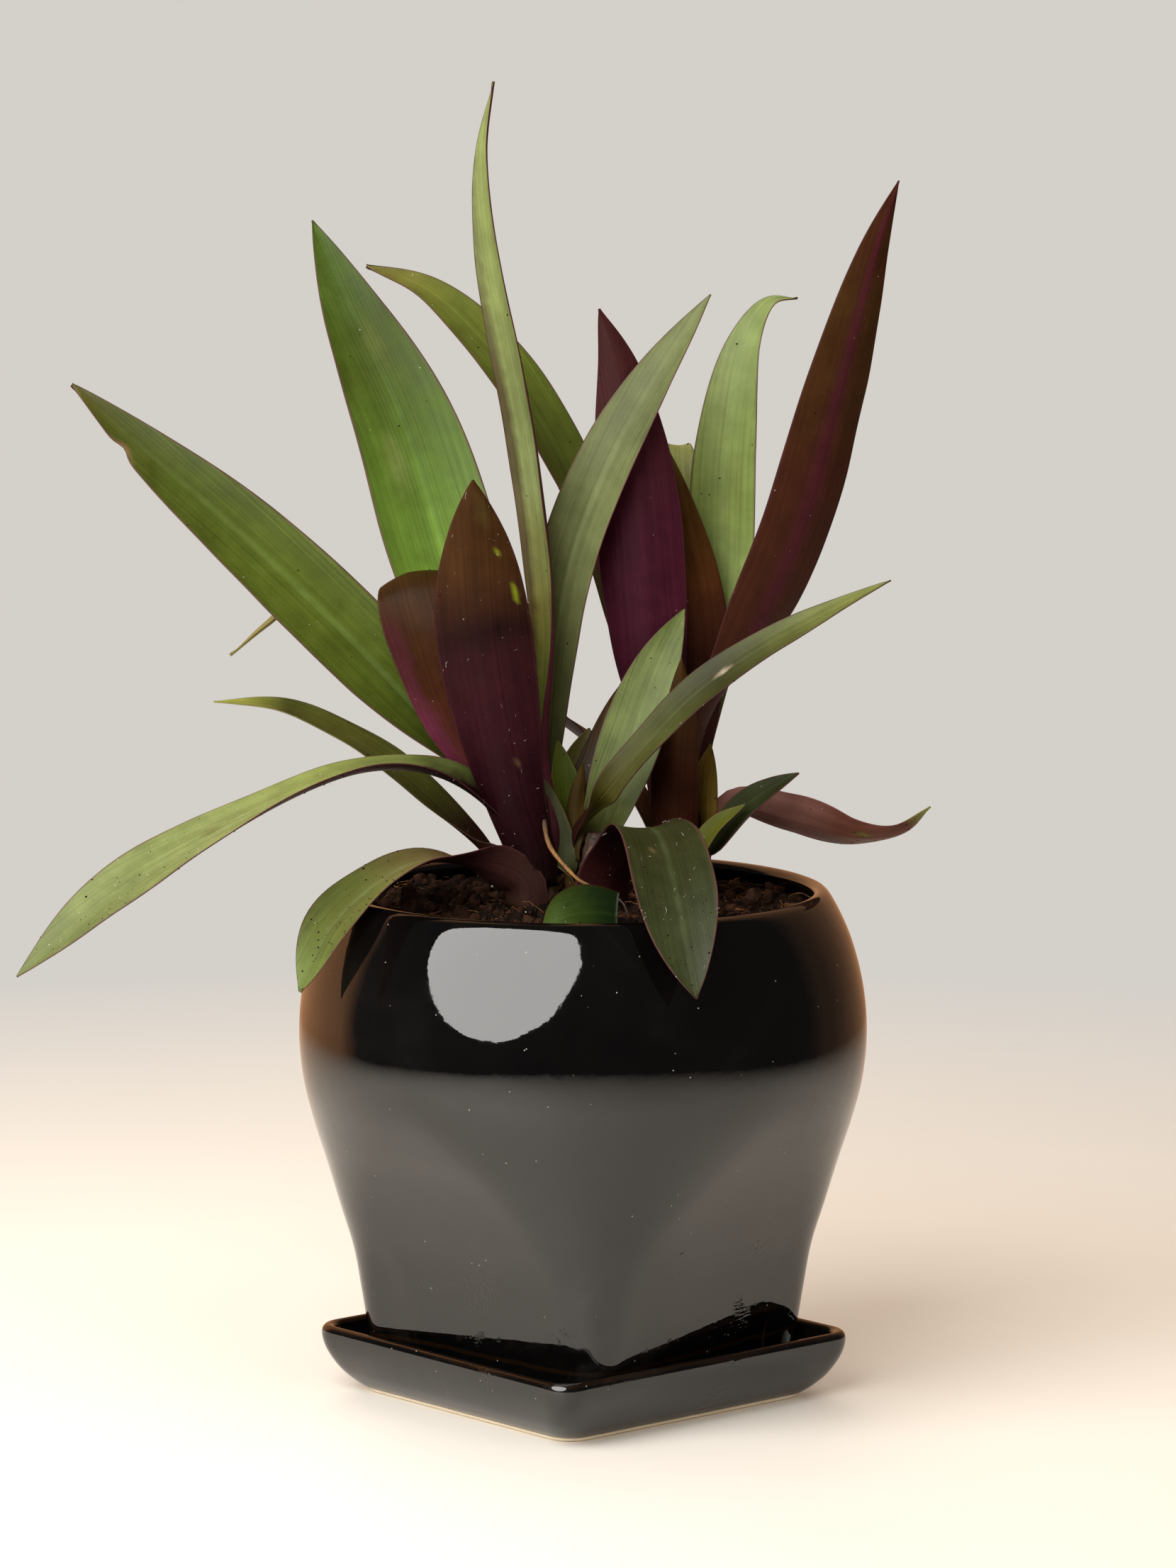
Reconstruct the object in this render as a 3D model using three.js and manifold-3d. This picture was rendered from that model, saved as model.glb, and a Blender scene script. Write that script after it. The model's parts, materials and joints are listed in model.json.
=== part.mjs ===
// Oyster plant (Tradescantia spathacea) in a glazed pot on a square saucer.
//
// Millimetres, +Z up. The origin is the centre of the saucer's underside, and X and Y run along
// the saucer's sides. The plant's own points are written in the frame of the group `plant`, which
// is turned about Z by plantTurn.

import * as THREE from 'three';
import { mergeVertices } from 'three/addons/utils/BufferGeometryUtils.js';
import Module from 'manifold-3d';

const wasm = await Module();
wasm.setup();

const degree = Math.PI / 180;
const quarterTurn = 90 * degree;
const clearance = 0.3;          // gap between pieces that touch
const weldDistance = 1e-4;      // vertices closer than this are one
const plantTurn = 48.8 * degree;
const potTurn = 7.5 * degree;   // the pot stands a little askew on its saucer
const upward = new THREE.Vector3(0, 0, 1);
const quarterSteps = 10;        // points in each quarter of a pot or saucer ring

// ---- driving dimensions -------------------------------------------------------------------

const saucer = {
  corner: 8.2,
  floor: 5,
  // outside, from the foot up to the lip: [half side, height]
  outside: [[50.6, 0], [51.4, 0.8], [54.6, 3.6], [57.7, 7.3], [60.8, 13.6], [61.7, 18.2],
    [61.5, 20], [60.7, 21.1], [59.7, 21.2]],
  // inside, from the lip down to the floor
  inside: [[58.7, 20.5], [58.3, 18.5], [57.2, 14], [54.6, 9], [52.2, 6.4], [49.5, 5]],
};

const pot = {
  base: saucer.floor + clearance,
  floorThickness: 5,
  footInset: 3,         // the floor's corner inside, where it meets the wall
  wall: 5.2,
  drain: { radius: 6, length: 40, sides: 24 },
  // outside, from the foot up: [height, reach of the corner from the axis, roundness of the plan]
  outside: [[5.3, 56, 0.2], [8, 62.5, 0.2], [13, 66.2, 0.2], [21, 68.4, 0.2], [34, 70.6, 0.24],
    [48, 73.1, 0.32], [62, 77.3, 0.46], [76, 81.4, 0.64], [89, 85.4, 0.82], [101, 88.4, 0.95],
    [112, 89.8, 1], [122, 89.9, 1], [132, 88.8, 1], [141, 86.8, 1], [149, 84.2, 1],
    [156, 81, 1], [160.4, 78.5, 1]],
  // the rounded lip, as circles: [height, radius]
  lip: [[162.2, 77], [162.9, 75.3], [162.3, 73.5], [160.6, 72.4]],
  // inside, from the lip down to the floor: heights at which the wall thickness is kept
  insideHeights: [156, 148, 137, 125, 112, 96, 80, 64, 48, 32, 16],
};

const soil = {
  level: 156.2,
  rings: 10,
  holeDepth: 26,
  sideTop: 150,         // the side's topmost ring is below this height
  fade: 8,              // the power by which the lumps fade out towards the pot's wall
  // small lumps, as waves: [height, length along x, length along y, phase], lengths over 2 pi
  lumps: [[0.45, 4.1, 3.7, 1.3], [0.45, 4.1, -3.7, 1.3], [0.7, 2.3, -2.9, 0.6]],
  // mounds and dips of the surface: [x, y, radius, height]
  mounds: [[-14, -6, 22, 2.6], [4, -4, 20, 2.4], [31, 19, 20, 2.6], [-48, 10, 16, 2.2],
    [-40, 34, 15, -1.8], [55, 20, 17, -2.4], [2, -58, 22, 0.8], [46, -36, 18, 1.4],
    [-52, -30, 14, -2], [6, 50, 20, 1.6]],
};

const stems = {
  left: { axis: [-15, -5], top: 185 },
  middle: { axis: [4, -4], top: 181 },
  right: { axis: [31, 19], top: 187 },
};
// Each stem's radii from the foot to the tip, and the cone that it narrows in.
const stem = { foot: 7.5, widest: 8.6, shoulder: 3.6, tip: 2.6, tipHeight: 3, taperFrom: 157,
  sides: 12 };

const blade = {
  edge: 0.7,            // thickness at the margins
  rib: 1.7,             // thickness along the midrib at the base
  ribTip: 0.9,
  tipWidth: 1.2,
  steps: 13,            // sections along a leaf
  crowding: 1.15,       // the power by which the sections crowd towards the tip
  shortSteps: 9,        // sections along a leaf that is narrow or short
  narrow: 16,
  tolerance: 0.03,      // for small faces left by a cut
  across: [-1, -0.55, 0, 0.55, 1],
  taper: [2.1, 0.95],   // powers that round the outline between the widest point and the tip
  sheath: 8,            // height that a leaf's base clasps the stem
  sheathSpread: 1.7,    // angle that the base wraps round the stem, in radians
  sheathGap: 0.6,       // room between the base and the stem, besides the clearance
  sheathLean: 0.5,      // how far the clasping base leans out
  opening: [0.05, 0.4], // stretch of the leaf in which the sheath opens into the blade
  turning: [0.45, 1],   // stretch in which the blade turns to face as the tip does
};

const glaze = { colour: 0x0c0c0d, roughness: 0.13 };
const dirt = { colour: 0x24170f, roughness: 0.95 };
const stemSkin = { colour: 0x8d7a5a, roughness: 0.7 };
const rootSkin = { colour: 0xa8813f, roughness: 0.7 };
const leafRoughness = 0.5;
const greens = { deep: 0x3f6a2e, mid: 0x4f7d38, pale: 0x8fb05a, grey: 0x6d8a5c };
const purples = { dark: 0x3c1a28, brown: 0x47291f, bright: 0x5a1f45, pink: 0x8a5a68 };

// Each leaf: the crown that it grows from, the side of the stem (degrees from +X), the height
// where its base starts, the points that its midrib passes through, its widest width, the place
// of the widest point (0 base, 1 tip), the width just above the base as a share of the widest,
// the channel's angle, and the way that its upper face looks in the blade and near the tip.
const leafTable = {
  leaf_left_tall: { crown: 'left', side: 12, start: 173, through: [[-12, 5, 205],
    [-10.5, 5, 246], [-17, 9, 305], [-29, 15, 366], [-31, 18, 394], [-28, 20, 416]],
    width: 22, widest: 0.5, waist: 0.6, spread: 1.2,
    face: [[-0.9, -0.42, 0.1], [-0.85, -0.5, 0.1]], colour: greens.pale },
  leaf_left_slanting: { crown: 'left', side: 68, start: 169, through: [[-11, 13, 207],
    [-8, 13, 241], [-3, 10, 268], [8, 6, 297], [22, 4, 323], [40, 4, 350]], width: 24,
    widest: 0.54, waist: 0.36, spread: 0.8, face: [[-0.6, -0.75, 0.3], [-0.3, -0.8, 0.5]],
    colour: greens.grey },
  leaf_left_dark: { crown: 'left', side: -96, start: 165, through: [[-21, -15, 190],
    [-26, -18, 213], [-31, -25, 246], [-33, -31, 277], [-34, -35, 295]], width: 31,
    widest: 0.6, waist: 0.54, spread: 0.9, face: [[0.05, 0.98, 0.15], [0, 0.98, 0.2]],
    colour: purples.dark },
  leaf_left_broad: { crown: 'left', side: 118, start: 171, through: [[-25, 15, 206],
    [-43, 29, 262], [-58, 41, 308], [-75, 50, 344], [-87, 56, 371]], width: 37, widest: 0.5,
    waist: 0.5, spread: 0.7, face: [[0.15, -0.95, 0.25], [0.2, -0.95, 0.1]],
    colour: greens.mid },
  leaf_left_curled: { crown: 'left', side: -142, start: 169, through: [[-31, -5, 198],
    [-43, -8, 224], [-51, -9, 248], [-54, -4, 259], [-55, 5, 262], [-56, 15, 257],
    [-57, 22, 248]], width: 27, widest: 0.6, waist: 0.42, spread: 0.7,
    face: [[0.3, 0.93, 0.2], [0.1, 0.2, -0.97]], colour: purples.brown },
  leaf_left_long: { crown: 'left', side: 164, start: 166, through: [[-30, 7, 190],
    [-59, 18, 224], [-107, 32, 270], [-140, 42, 298], [-164, 50, 319]], width: 32,
    widest: 0.45, waist: 0.45, spread: 0.7, face: [[0.3, -0.75, 0.55], [0.2, -0.8, 0.5]],
    colour: greens.deep },
  leaf_left_arching: { crown: 'left', side: 178, start: 167, through: [[-30, -9, 191],
    [-48, -23, 203], [-70, -30, 204], [-110, -43, 188], [-147, -54, 167], [-174, -60, 144]],
    width: 27, widest: 0.58, waist: 0.42, spread: 0.8, face: [[0, 0.03, 0.98],
      [-0.3, -0.75, 0.65]], colour: greens.pale },
  leaf_left_narrow: { crown: 'left', side: 178, start: 160, through: [[-31, 5, 174],
    [-61, 8, 201], [-77, 9, 211], [-95, 10, 219], [-117, 10, 221]], width: 15,
    widest: 0.5, waist: 0.6, spread: 0.9, face: [[-0.2, -0.3, 0.93], [0, -0.3, 0.95]],
    colour: greens.deep },
  leaf_left_rim: { crown: 'left', side: -118, start: 157.4, through: [[-31, -16, 172],
    [-49, -24, 175], [-62, -31, 170], [-78, -37, 156], [-88, -40, 136]], width: 27,
    widest: 0.68, waist: 0.6, spread: 0.8, face: [[-0.2, -0.1, 0.98], [-0.7, -0.6, 0.4]],
    colour: greens.deep },

  leaf_middle_pale: { crown: 'middle', side: 80, start: 170, through: [[9, -2, 192],
    [16, 0, 212], [24, 2, 234], [32, 4, 251]], width: 20, widest: 0.5, waist: 0.6,
    spread: 0.6, face: [[-0.15, -0.96, 0.2], [-0.1, -0.97, 0.2]], colour: greens.pale },
  leaf_middle_reaching: { crown: 'middle', side: 158, start: 167, through: [[-2.5, -4, 181],
    [2.5, -9, 189], [8.5, -14, 197], [20, -20, 211], [36, -26, 228], [57, -30, 243],
    [78, -34, 255], [95, -36, 264]], width: 14, widest: 0.55, waist: 0.42, spread: 0.9,
    face: [[-0.3, -0.7, 0.65], [-0.3, -0.5, 0.8]], colour: greens.grey },
  leaf_middle_rim: { crown: 'middle', side: -66, start: 157.6, through: [[13, -20, 176],
    [18.5, -33, 186], [23.5, -52, 186], [27.5, -72, 174.5], [31, -86, 158], [34, -95, 143]],
    width: 26, widest: 0.66, waist: 0.78, spread: 0.65, face: [[0.05, -0.25, 0.95],
      [0.05, -0.9, 0.4]], colour: greens.deep },
  leaf_middle_edge: { crown: 'middle', side: 62, start: 164, through: [[3, 6, 190],
    [8, 10, 208], [12, 13, 226]], width: 15, widest: 0.5, waist: 0.6, spread: 0.8,
    face: [[-0.3, -0.9, 0.2], [-0.3, -0.9, 0.2]], colour: purples.brown },
  leaf_middle_back: { crown: 'middle', side: 130, start: 168, through: [[-1, 7, 186],
    [0, 11, 200], [2, 14, 212]], width: 18, widest: 0.5, waist: 0.6, spread: 0.8,
    face: [[0, -0.95, 0.3], [0, -0.95, 0.3]], colour: purples.brown },
  leaf_middle_young: { crown: 'middle', side: 118, start: 166, through: [[-4, 3, 184],
    [-6, 4, 197], [-8, 6, 209]], width: 12, widest: 0.45, waist: 0.6, spread: 0.8,
    face: [[0.3, -0.9, 0.2], [0.3, -0.9, 0.2]], colour: greens.mid },
  leaf_middle_thin: { crown: 'middle', side: 100, start: 160, through: [[-7, 12, 178],
    [-10, 19, 195], [-11, 24, 209]], width: 10, widest: 0.5, waist: 0.6, spread: 0.8,
    face: [[0.5, -0.8, 0.2], [0.5, -0.8, 0.2]], colour: greens.grey },
  leaf_middle_low: { crown: 'middle', side: -160, start: 160, through: [[-7, -6, 176],
    [-10, -6, 188], [-12, -5, 198]], width: 10, widest: 0.45, waist: 0.7, spread: 0.8,
    face: [[0.4, -0.85, 0.2], [0.4, -0.85, 0.2]], colour: greens.grey },
  leaf_middle_bud: { crown: 'middle', side: 178, start: 172, through: [[-2.5, -1.5, 188],
    [0, -1, 203]], width: 6, widest: 0.4, waist: 0.8, spread: 1.2,
    face: [[0.1, 0.95, 0.1], [0.1, 0.95, 0.1]], colour: purples.brown },

  leaf_right_purple: { crown: 'right', side: -135, start: 176, through: [[23, 11, 212],
    [19, 8, 259], [16, 8, 294], [11, 10, 326], [5, 13, 345]], width: 28, widest: 0.55,
    waist: 0.5, spread: 0.9, face: [[0.1, 0.98, 0.1], [0.05, 0.98, 0.1]],
    colour: purples.bright },
  leaf_right_brown: { crown: 'right', side: -75, start: 173, through: [[33, 17, 212],
    [33, 20, 246], [27, 24, 276], [19, 30, 312]], width: 28, widest: 0.5, waist: 0.45,
    spread: 0.9, face: [[-0.2, 0.96, 0.1], [-0.1, 0.96, 0.1]], colour: purples.brown },
  leaf_right_tall: { crown: 'right', side: 24, start: 169, through: [[37, 18, 208],
    [53, 9, 241], [68, 3, 276], [80, -4, 321], [91, -9, 365], [98, -11, 386]], width: 27,
    widest: 0.5, waist: 0.46, spread: 0.8, face: [[-0.5, 0.82, 0.25], [-0.4, 0.88, 0.2]],
    colour: purples.dark },
  leaf_right_pale: { crown: 'right', side: 70, start: 175, through: [[38, 30, 216],
    [44, 36, 253], [46, 41, 298], [52, 47, 332], [60, 52, 345], [69, 57, 346]], width: 22,
    widest: 0.55, waist: 0.5, spread: 0.7, face: [[-0.25, -0.93, 0.25], [-0.3, -0.6, 0.7]],
    colour: greens.pale },
  leaf_right_olive: { crown: 'right', side: 110, start: 170, through: [[31, 39, 215],
    [32, 49, 259], [31, 57, 293], [31, 64, 298], [31, 71, 293]], width: 22, widest: 0.6,
    waist: 0.5, spread: 0.8, face: [[0, -0.95, 0.3], [0, -0.3, 0.95]],
    colour: greens.grey },
  leaf_right_arching: { crown: 'right', side: 165, start: 171, through: [[16, 32, 222],
    [7, 43, 260], [-9, 53, 298], [-29, 60, 328], [-50, 66, 348], [-70, 70, 356]], width: 25,
    widest: 0.58, waist: 0.48, spread: 0.8, face: [[0.55, -0.35, 0.6], [0.15, -0.7, 0.7]],
    colour: greens.deep },
  leaf_right_long: { crown: 'right', side: 145, start: 165, through: [[7, 37, 200],
    [-28, 54, 223], [-66, 63, 244], [-91, 66, 247], [-103, 68, 239], [-115, 70, 229]],
    width: 18, widest: 0.5, waist: 0.6, spread: 0.9, face: [[0.2, 0.3, 0.9],
      [-0.2, -0.3, 0.9]], colour: purples.brown },
  leaf_right_sheath: { crown: 'right', side: -104, start: 161, through: [[29, 6, 184],
    [29, 3, 200], [30.5, -1, 218], [31, -3, 236]], width: 16, widest: 0.4, waist: 0.85,
    spread: 1.2, face: [[0.05, 0.98, 0.1], [0, 0.98, 0.1]], colour: purples.dark },
  leaf_right_stub: { crown: 'right', side: -20, start: 167, through: [[38.5, 13.5, 190],
    [40.5, 13, 207]], width: 11, widest: 0.5, waist: 0.8, spread: 1,
    face: [[-0.4, -0.85, 0.1], [-0.4, -0.85, 0.1]], colour: greens.grey },
  leaf_right_low: { crown: 'right', side: 4, start: 163, through: [[47, 20, 186],
    [66, 17, 183], [87, 12, 177.5], [101, 8, 179.5], [110, 5, 188]], width: 21, widest: 0.6,
    waist: 0.4, spread: 0.8, face: [[-0.1, 0.7, 0.7], [-0.3, 0.3, 0.9]],
    colour: purples.pink },
  leaf_right_green: { crown: 'right', side: -62, start: 160, through: [[41, 7, 175],
    [51, 1, 188], [60, -3, 195], [68, -5, 200]], width: 13, widest: 0.55, waist: 0.7,
    spread: 0.8, face: [[-0.5, -0.6, 0.6], [-0.4, -0.6, 0.7]], colour: greens.deep },
  leaf_right_sprout: { crown: 'right', side: -92, start: 159, through: [[34, 2, 171],
    [42, -2, 183], [51, -5, 190]], width: 8, widest: 0.5, waist: 0.8, spread: 0.8,
    face: [[-0.5, -0.7, 0.5], [-0.5, -0.7, 0.5]], colour: greens.pale },
};

// A short cut leaf sits in the soil near the front of the pot's mouth and leans back.
const cutLeaf = { from: [10.5, -50, 161.4], through: [[4, -52, 162.9], [-4, -54.5, 162.4]],
  tip: [-12.5, -57, 159], width: 18, widest: 0.4, waist: 0.85, face: [0, -0.8, 0.6],
  spread: 0.7 };

// A wiry root comes out of the middle crown and dips into the soil.
const root = { radius: 0.7, steps: 18, sidesPerHalf: 3, points: [[-12.2, -12.5, 186],
  [-11.3, -17, 181], [-9.6, -20, 177.5], [-5.5, -24, 173], [-1, -28, 169.2], [3.8, -29, 167],
  [9, -30, 165], [12.5, -31.5, 162.5], [14.5, -32.5, 159]] };

// ---- solids and meshes --------------------------------------------------------------------

function toSolid(geometry) {
  const bare = geometry.clone();
  bare.deleteAttribute('normal');
  bare.deleteAttribute('uv');
  const merged = mergeVertices(bare, weldDistance);
  return new wasm.Manifold(new wasm.Mesh({
    numProp: 3,
    vertProperties: new Float32Array(merged.attributes.position.array),
    triVerts: new Uint32Array(merged.index.array),
  }));
}

function toGeometry(solid) {
  const mesh = solid.getMesh();
  const geometry = new THREE.BufferGeometry();
  const positions = new THREE.BufferAttribute(new Float32Array(mesh.vertProperties), 3);
  geometry.setAttribute('position', positions);
  geometry.setIndex(new THREE.BufferAttribute(new Uint32Array(mesh.triVerts), 1));
  geometry.computeVertexNormals();
  return geometry;
}

function finish({ colour, roughness }) {
  return new THREE.MeshStandardMaterial({ color: colour, roughness, metalness: 0 });
}

function leafFinish(colour) {
  return finish({ colour, roughness: leafRoughness });
}

function namedMesh(name, geometry, material) {
  const mesh = new THREE.Mesh(geometry, material);
  mesh.name = name;
  return mesh;
}

// A closed skin over rings of equally many points, with a flat cap on the first and last ring.
// The rings run up the outside, so that their faces point out.
function skinOf(rings) {
  const count = rings[0].length;
  const positions = [];
  const indices = [];
  for (const ring of rings) {
    for (const point of ring) positions.push(point.x, point.y, point.z);
  }
  for (let level = 0; level < rings.length - 1; level += 1) {
    for (let i = 0; i < count; i += 1) {
      const next = (i + 1) % count;
      const low = level * count;
      const high = low + count;
      indices.push(low + i, low + next, high + next, low + i, high + next, high + i);
    }
  }
  for (const [ring, outward] of [[0, -1], [rings.length - 1, 1]]) {
    const middle = positions.length / 3;
    const centre = new THREE.Vector3();
    for (const point of rings[ring]) centre.addScaledVector(point, 1 / count);
    positions.push(centre.x, centre.y, centre.z);
    for (let i = 0; i < count; i += 1) {
      const a = ring * count + i;
      const b = ring * count + (i + 1) % count;
      indices.push(...(outward > 0 ? [middle, a, b] : [middle, b, a]));
    }
  }
  const geometry = new THREE.BufferGeometry();
  geometry.setAttribute('position', new THREE.Float32BufferAttribute(positions, 3));
  geometry.setIndex(indices);
  return geometry;
}

// ---- pot and saucer -----------------------------------------------------------------------

// A level ring: a square with rounded corners, or a circle where the corner equals the half side.
function squareRing(halfSide, corner, height) {
  const ring = [];
  const reach = halfSide - corner;
  for (let quarter = 0; quarter < 4; quarter += 1) {
    const middle = (quarter + 0.5) * quarterTurn;
    const centreX = Math.SQRT2 * reach * Math.cos(middle);
    const centreY = Math.SQRT2 * reach * Math.sin(middle);
    for (let step = 0; step < quarterSteps; step += 1) {
      const angle = (quarter + (step + 0.5) / quarterSteps) * quarterTurn;
      ring.push(new THREE.Vector3(centreX + corner * Math.cos(angle),
        centreY + corner * Math.sin(angle), height));
    }
  }
  return ring;
}

function potRing(height, reach, roundness) {
  const halfSide = reach / (Math.SQRT2 - roundness * (Math.SQRT2 - 1));
  return squareRing(halfSide, roundness * halfSide, height);
}

// The reach and roundness of the pot's outside at any height, between the stations.
function potAt(height) {
  const stations = pot.outside;
  const last = stations.length - 1;
  const above = Math.min(Math.max(stations.findIndex(([level]) => level >= height), 1), last);
  const [lowZ, lowReach, lowRound] = stations[above - 1];
  const [highZ, highReach, highRound] = stations[above];
  const share = (height - lowZ) / (highZ - lowZ);
  return [lowReach + share * (highReach - lowReach), lowRound + share * (highRound - lowRound)];
}

function insideRing(height, inset) {
  const [reach, roundness] = potAt(height);
  return potRing(height, reach - inset, roundness);
}

function saucerGeometry() {
  const profile = [...saucer.outside, ...saucer.inside];
  const narrow = saucer.outside[0][0];
  return skinOf(profile.map(([halfSide, height]) => (
    squareRing(halfSide, saucer.corner * Math.min(1, halfSide / narrow), height))));
}

function potGeometry() {
  const floor = pot.base + pot.floorThickness;
  const rings = [
    ...pot.outside.map((station) => potRing(...station)),
    ...pot.lip.map(([height, radius]) => potRing(height, radius, 1)),
    ...pot.insideHeights.map((height) => insideRing(height, pot.wall)),
    insideRing(floor, pot.wall + pot.footInset),
  ];
  const { radius, length, sides } = pot.drain;
  const drain = new THREE.CylinderGeometry(radius, radius, length, sides);
  drain.rotateX(quarterTurn);
  const solid = toSolid(skinOf(rings)).subtract(toSolid(drain));
  return toGeometry(solid).rotateZ(potTurn);
}

// ---- soil and stems -----------------------------------------------------------------------

// How far the soil's lumpy surface stands above its level, in the plant's frame.
function soilRelief(x, y) {
  let relief = 0;
  for (const [height, lengthX, lengthY, phase] of soil.lumps) {
    relief += height * Math.sin(x / lengthX + y / lengthY + phase);
  }
  for (const [moundX, moundY, radius, rise] of soil.mounds) {
    const distance = Math.hypot(x - moundX, y - moundY) / radius;
    relief += rise * Math.exp(-distance * distance);
  }
  return relief;
}

function stemProfile(top, extra) {
  const foot = soil.level - soil.holeDepth;
  return [[0, foot - extra], [stem.foot + extra, foot - extra], [stem.widest + extra, soil.level],
    [stem.widest + extra, stem.taperFrom], [stem.shoulder + extra, top - stem.tipHeight],
    [stem.tip + extra, top + extra], [0, top + extra]].map((point) => new THREE.Vector2(...point));
}

// Radius of a stem's cone at a height, where a leaf's base starts.
function stemRadius(top, height) {
  const share = (height - stem.taperFrom) / (top - stem.tipHeight - stem.taperFrom);
  return THREE.MathUtils.lerp(stem.widest, stem.shoulder, THREE.MathUtils.clamp(share, 0, 1));
}

function stemGeometry({ axis, top }, extra = 0) {
  const lathe = new THREE.LatheGeometry(stemProfile(top, extra), stem.sides);
  return lathe.rotateX(quarterTurn).translate(axis[0], axis[1], 0);
}

function soilGeometry() {
  const floor = pot.base + pot.floorThickness + clearance;
  const inset = pot.wall + clearance;
  const brim = insideRing(soil.level, inset);
  const side = pot.insideHeights.filter((height) => height < soil.sideTop).reverse();
  const surfaceRings = [];
  for (let ring = 0; ring < soil.rings; ring += 1) {
    const share = 1 - ring / soil.rings;
    surfaceRings.push(brim.map((point) => {
      const flat = point.clone().multiplyScalar(share);
      const inPlant = flat.clone().applyAxisAngle(upward, potTurn - plantTurn);
      const height = soil.level + (1 - share ** soil.fade) * soilRelief(inPlant.x, inPlant.y);
      return new THREE.Vector3(flat.x, flat.y, height);
    }));
  }
  const rings = [
    insideRing(floor, inset + pot.footInset),
    ...side.map((height) => insideRing(height, inset)),
    ...surfaceRings,
  ];
  return skinOf(rings).rotateZ(potTurn - plantTurn);
}

function withStemHoles(geometry) {
  const holes = Object.values(stems).map((one) => toSolid(stemGeometry(one, clearance)));
  return toGeometry(holes.reduce((solid, hole) => solid.subtract(hole), toSolid(geometry)));
}

// ---- leaves -------------------------------------------------------------------------------

// Width along a leaf: a waist above the base, the widest point, then a long taper to the tip.
function widthAt(share, leaf) {
  if (share < leaf.widest) {
    const rise = Math.sin((share / leaf.widest) * quarterTurn) ** 2;
    return leaf.width * THREE.MathUtils.lerp(leaf.waist, 1, rise);
  }
  const beyond = (share - leaf.widest) / (1 - leaf.widest);
  const [belly, point] = blade.taper;
  return Math.max(leaf.width * (1 - beyond ** belly) ** point, blade.tipWidth);
}

// Points, tangents, facings and channel angles of a leaf's sections, from base to tip.
function leafSections(leaf) {
  const points = [];
  let inward = null;
  if (leaf.crown) {
    const { axis, top } = stems[leaf.crown];
    const radius = stemRadius(top, leaf.start) + clearance + blade.sheathGap;
    const out = new THREE.Vector3(Math.cos(leaf.side * degree), Math.sin(leaf.side * degree), 0);
    const base = new THREE.Vector3(axis[0], axis[1], leaf.start).addScaledVector(out, radius);
    points.push(base, base.clone().addScaledVector(out, blade.sheathLean)
      .setZ(leaf.start + blade.sheath));
    inward = out.negate();
  }
  points.push(...leaf.through.map((point) => new THREE.Vector3(...point)));
  const path = new THREE.CatmullRomCurve3(points, false, 'centripetal');
  const [blend, tip] = leaf.face.map((direction) => new THREE.Vector3(...direction).normalize());
  const sections = [];
  const steps = leaf.width < blade.narrow ? blade.shortSteps : blade.steps;
  for (let step = 0; step <= steps; step += 1) {
    const share = 1 - (1 - step / steps) ** blade.crowding;
    const along = path.getTangentAt(share);
    const face = blend.clone().lerp(tip, THREE.MathUtils.smoothstep(share, ...blade.turning));
    const sheathed = inward ? 1 - THREE.MathUtils.smoothstep(share, ...blade.opening) : 0;
    if (inward) face.lerp(inward, sheathed);
    face.addScaledVector(along, -face.dot(along)).normalize();
    sections.push({
      point: path.getPointAt(share),
      along,
      face,
      across: face.clone().cross(along),
      width: widthAt(share, leaf),
      spread: THREE.MathUtils.lerp(leaf.spread, blade.sheathSpread, sheathed),
      rib: THREE.MathUtils.lerp(blade.rib, blade.ribTip, share),
    });
  }
  return sections;
}

// A leaf blade: a channel-shaped section, thicker along the midrib, carried along the sections.
// Both faces are split along the same diagonals, so the blade keeps its thickness.
function leafGeometry(leaf, extra = 0) {
  const sections = leafSections(leaf);
  const count = blade.across.length;
  const positions = [];
  for (const { point, face, across, width, spread, rib } of sections) {
    const radius = width / spread;
    for (const side of [1, -1]) {
      for (const share of blade.across) {
        const angle = (share * spread * (width + 2 * extra)) / (2 * width);
        const thickness = THREE.MathUtils.lerp(rib, blade.edge, Math.abs(share)) + 2 * extra;
        const up = side > 0 ? blade.edge / 2 + extra : blade.edge / 2 - thickness + extra;
        const reach = radius - up;
        const place = point.clone()
          .addScaledVector(across, reach * Math.sin(angle))
          .addScaledVector(face, radius - reach * Math.cos(angle));
        positions.push(place.x, place.y, place.z);
      }
    }
  }
  const top = (step, i) => step * 2 * count + i;
  const under = (step, i) => step * 2 * count + count + i;
  const indices = [];
  for (let step = 0; step < sections.length - 1; step += 1) {
    const next = step + 1;
    for (let i = 0; i < count - 1; i += 1) {
      indices.push(top(step, i), top(next, i), top(next, i + 1));
      indices.push(top(step, i), top(next, i + 1), top(step, i + 1));
      indices.push(under(step, i), under(next, i + 1), under(next, i));
      indices.push(under(step, i), under(step, i + 1), under(next, i + 1));
    }
    const last = count - 1;
    indices.push(top(step, last), top(next, last), under(next, last));
    indices.push(top(step, last), under(next, last), under(step, last));
    indices.push(top(step, 0), under(next, 0), top(next, 0));
    indices.push(top(step, 0), under(step, 0), under(next, 0));
  }
  const end = sections.length - 1;
  for (let i = 0; i < count - 1; i += 1) {
    indices.push(top(0, i), top(0, i + 1), under(0, i + 1));
    indices.push(top(0, i), under(0, i + 1), under(0, i));
    indices.push(top(end, i), under(end, i + 1), top(end, i + 1));
    indices.push(top(end, i), under(end, i), under(end, i + 1));
  }
  const geometry = new THREE.BufferGeometry();
  geometry.setAttribute('position', new THREE.Float32BufferAttribute(positions, 3));
  geometry.setIndex(indices);
  return geometry;
}

function boxOf(solid) {
  const { min, max } = solid.boundingBox();
  return new THREE.Box3(new THREE.Vector3(...min), new THREE.Vector3(...max));
}

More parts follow.
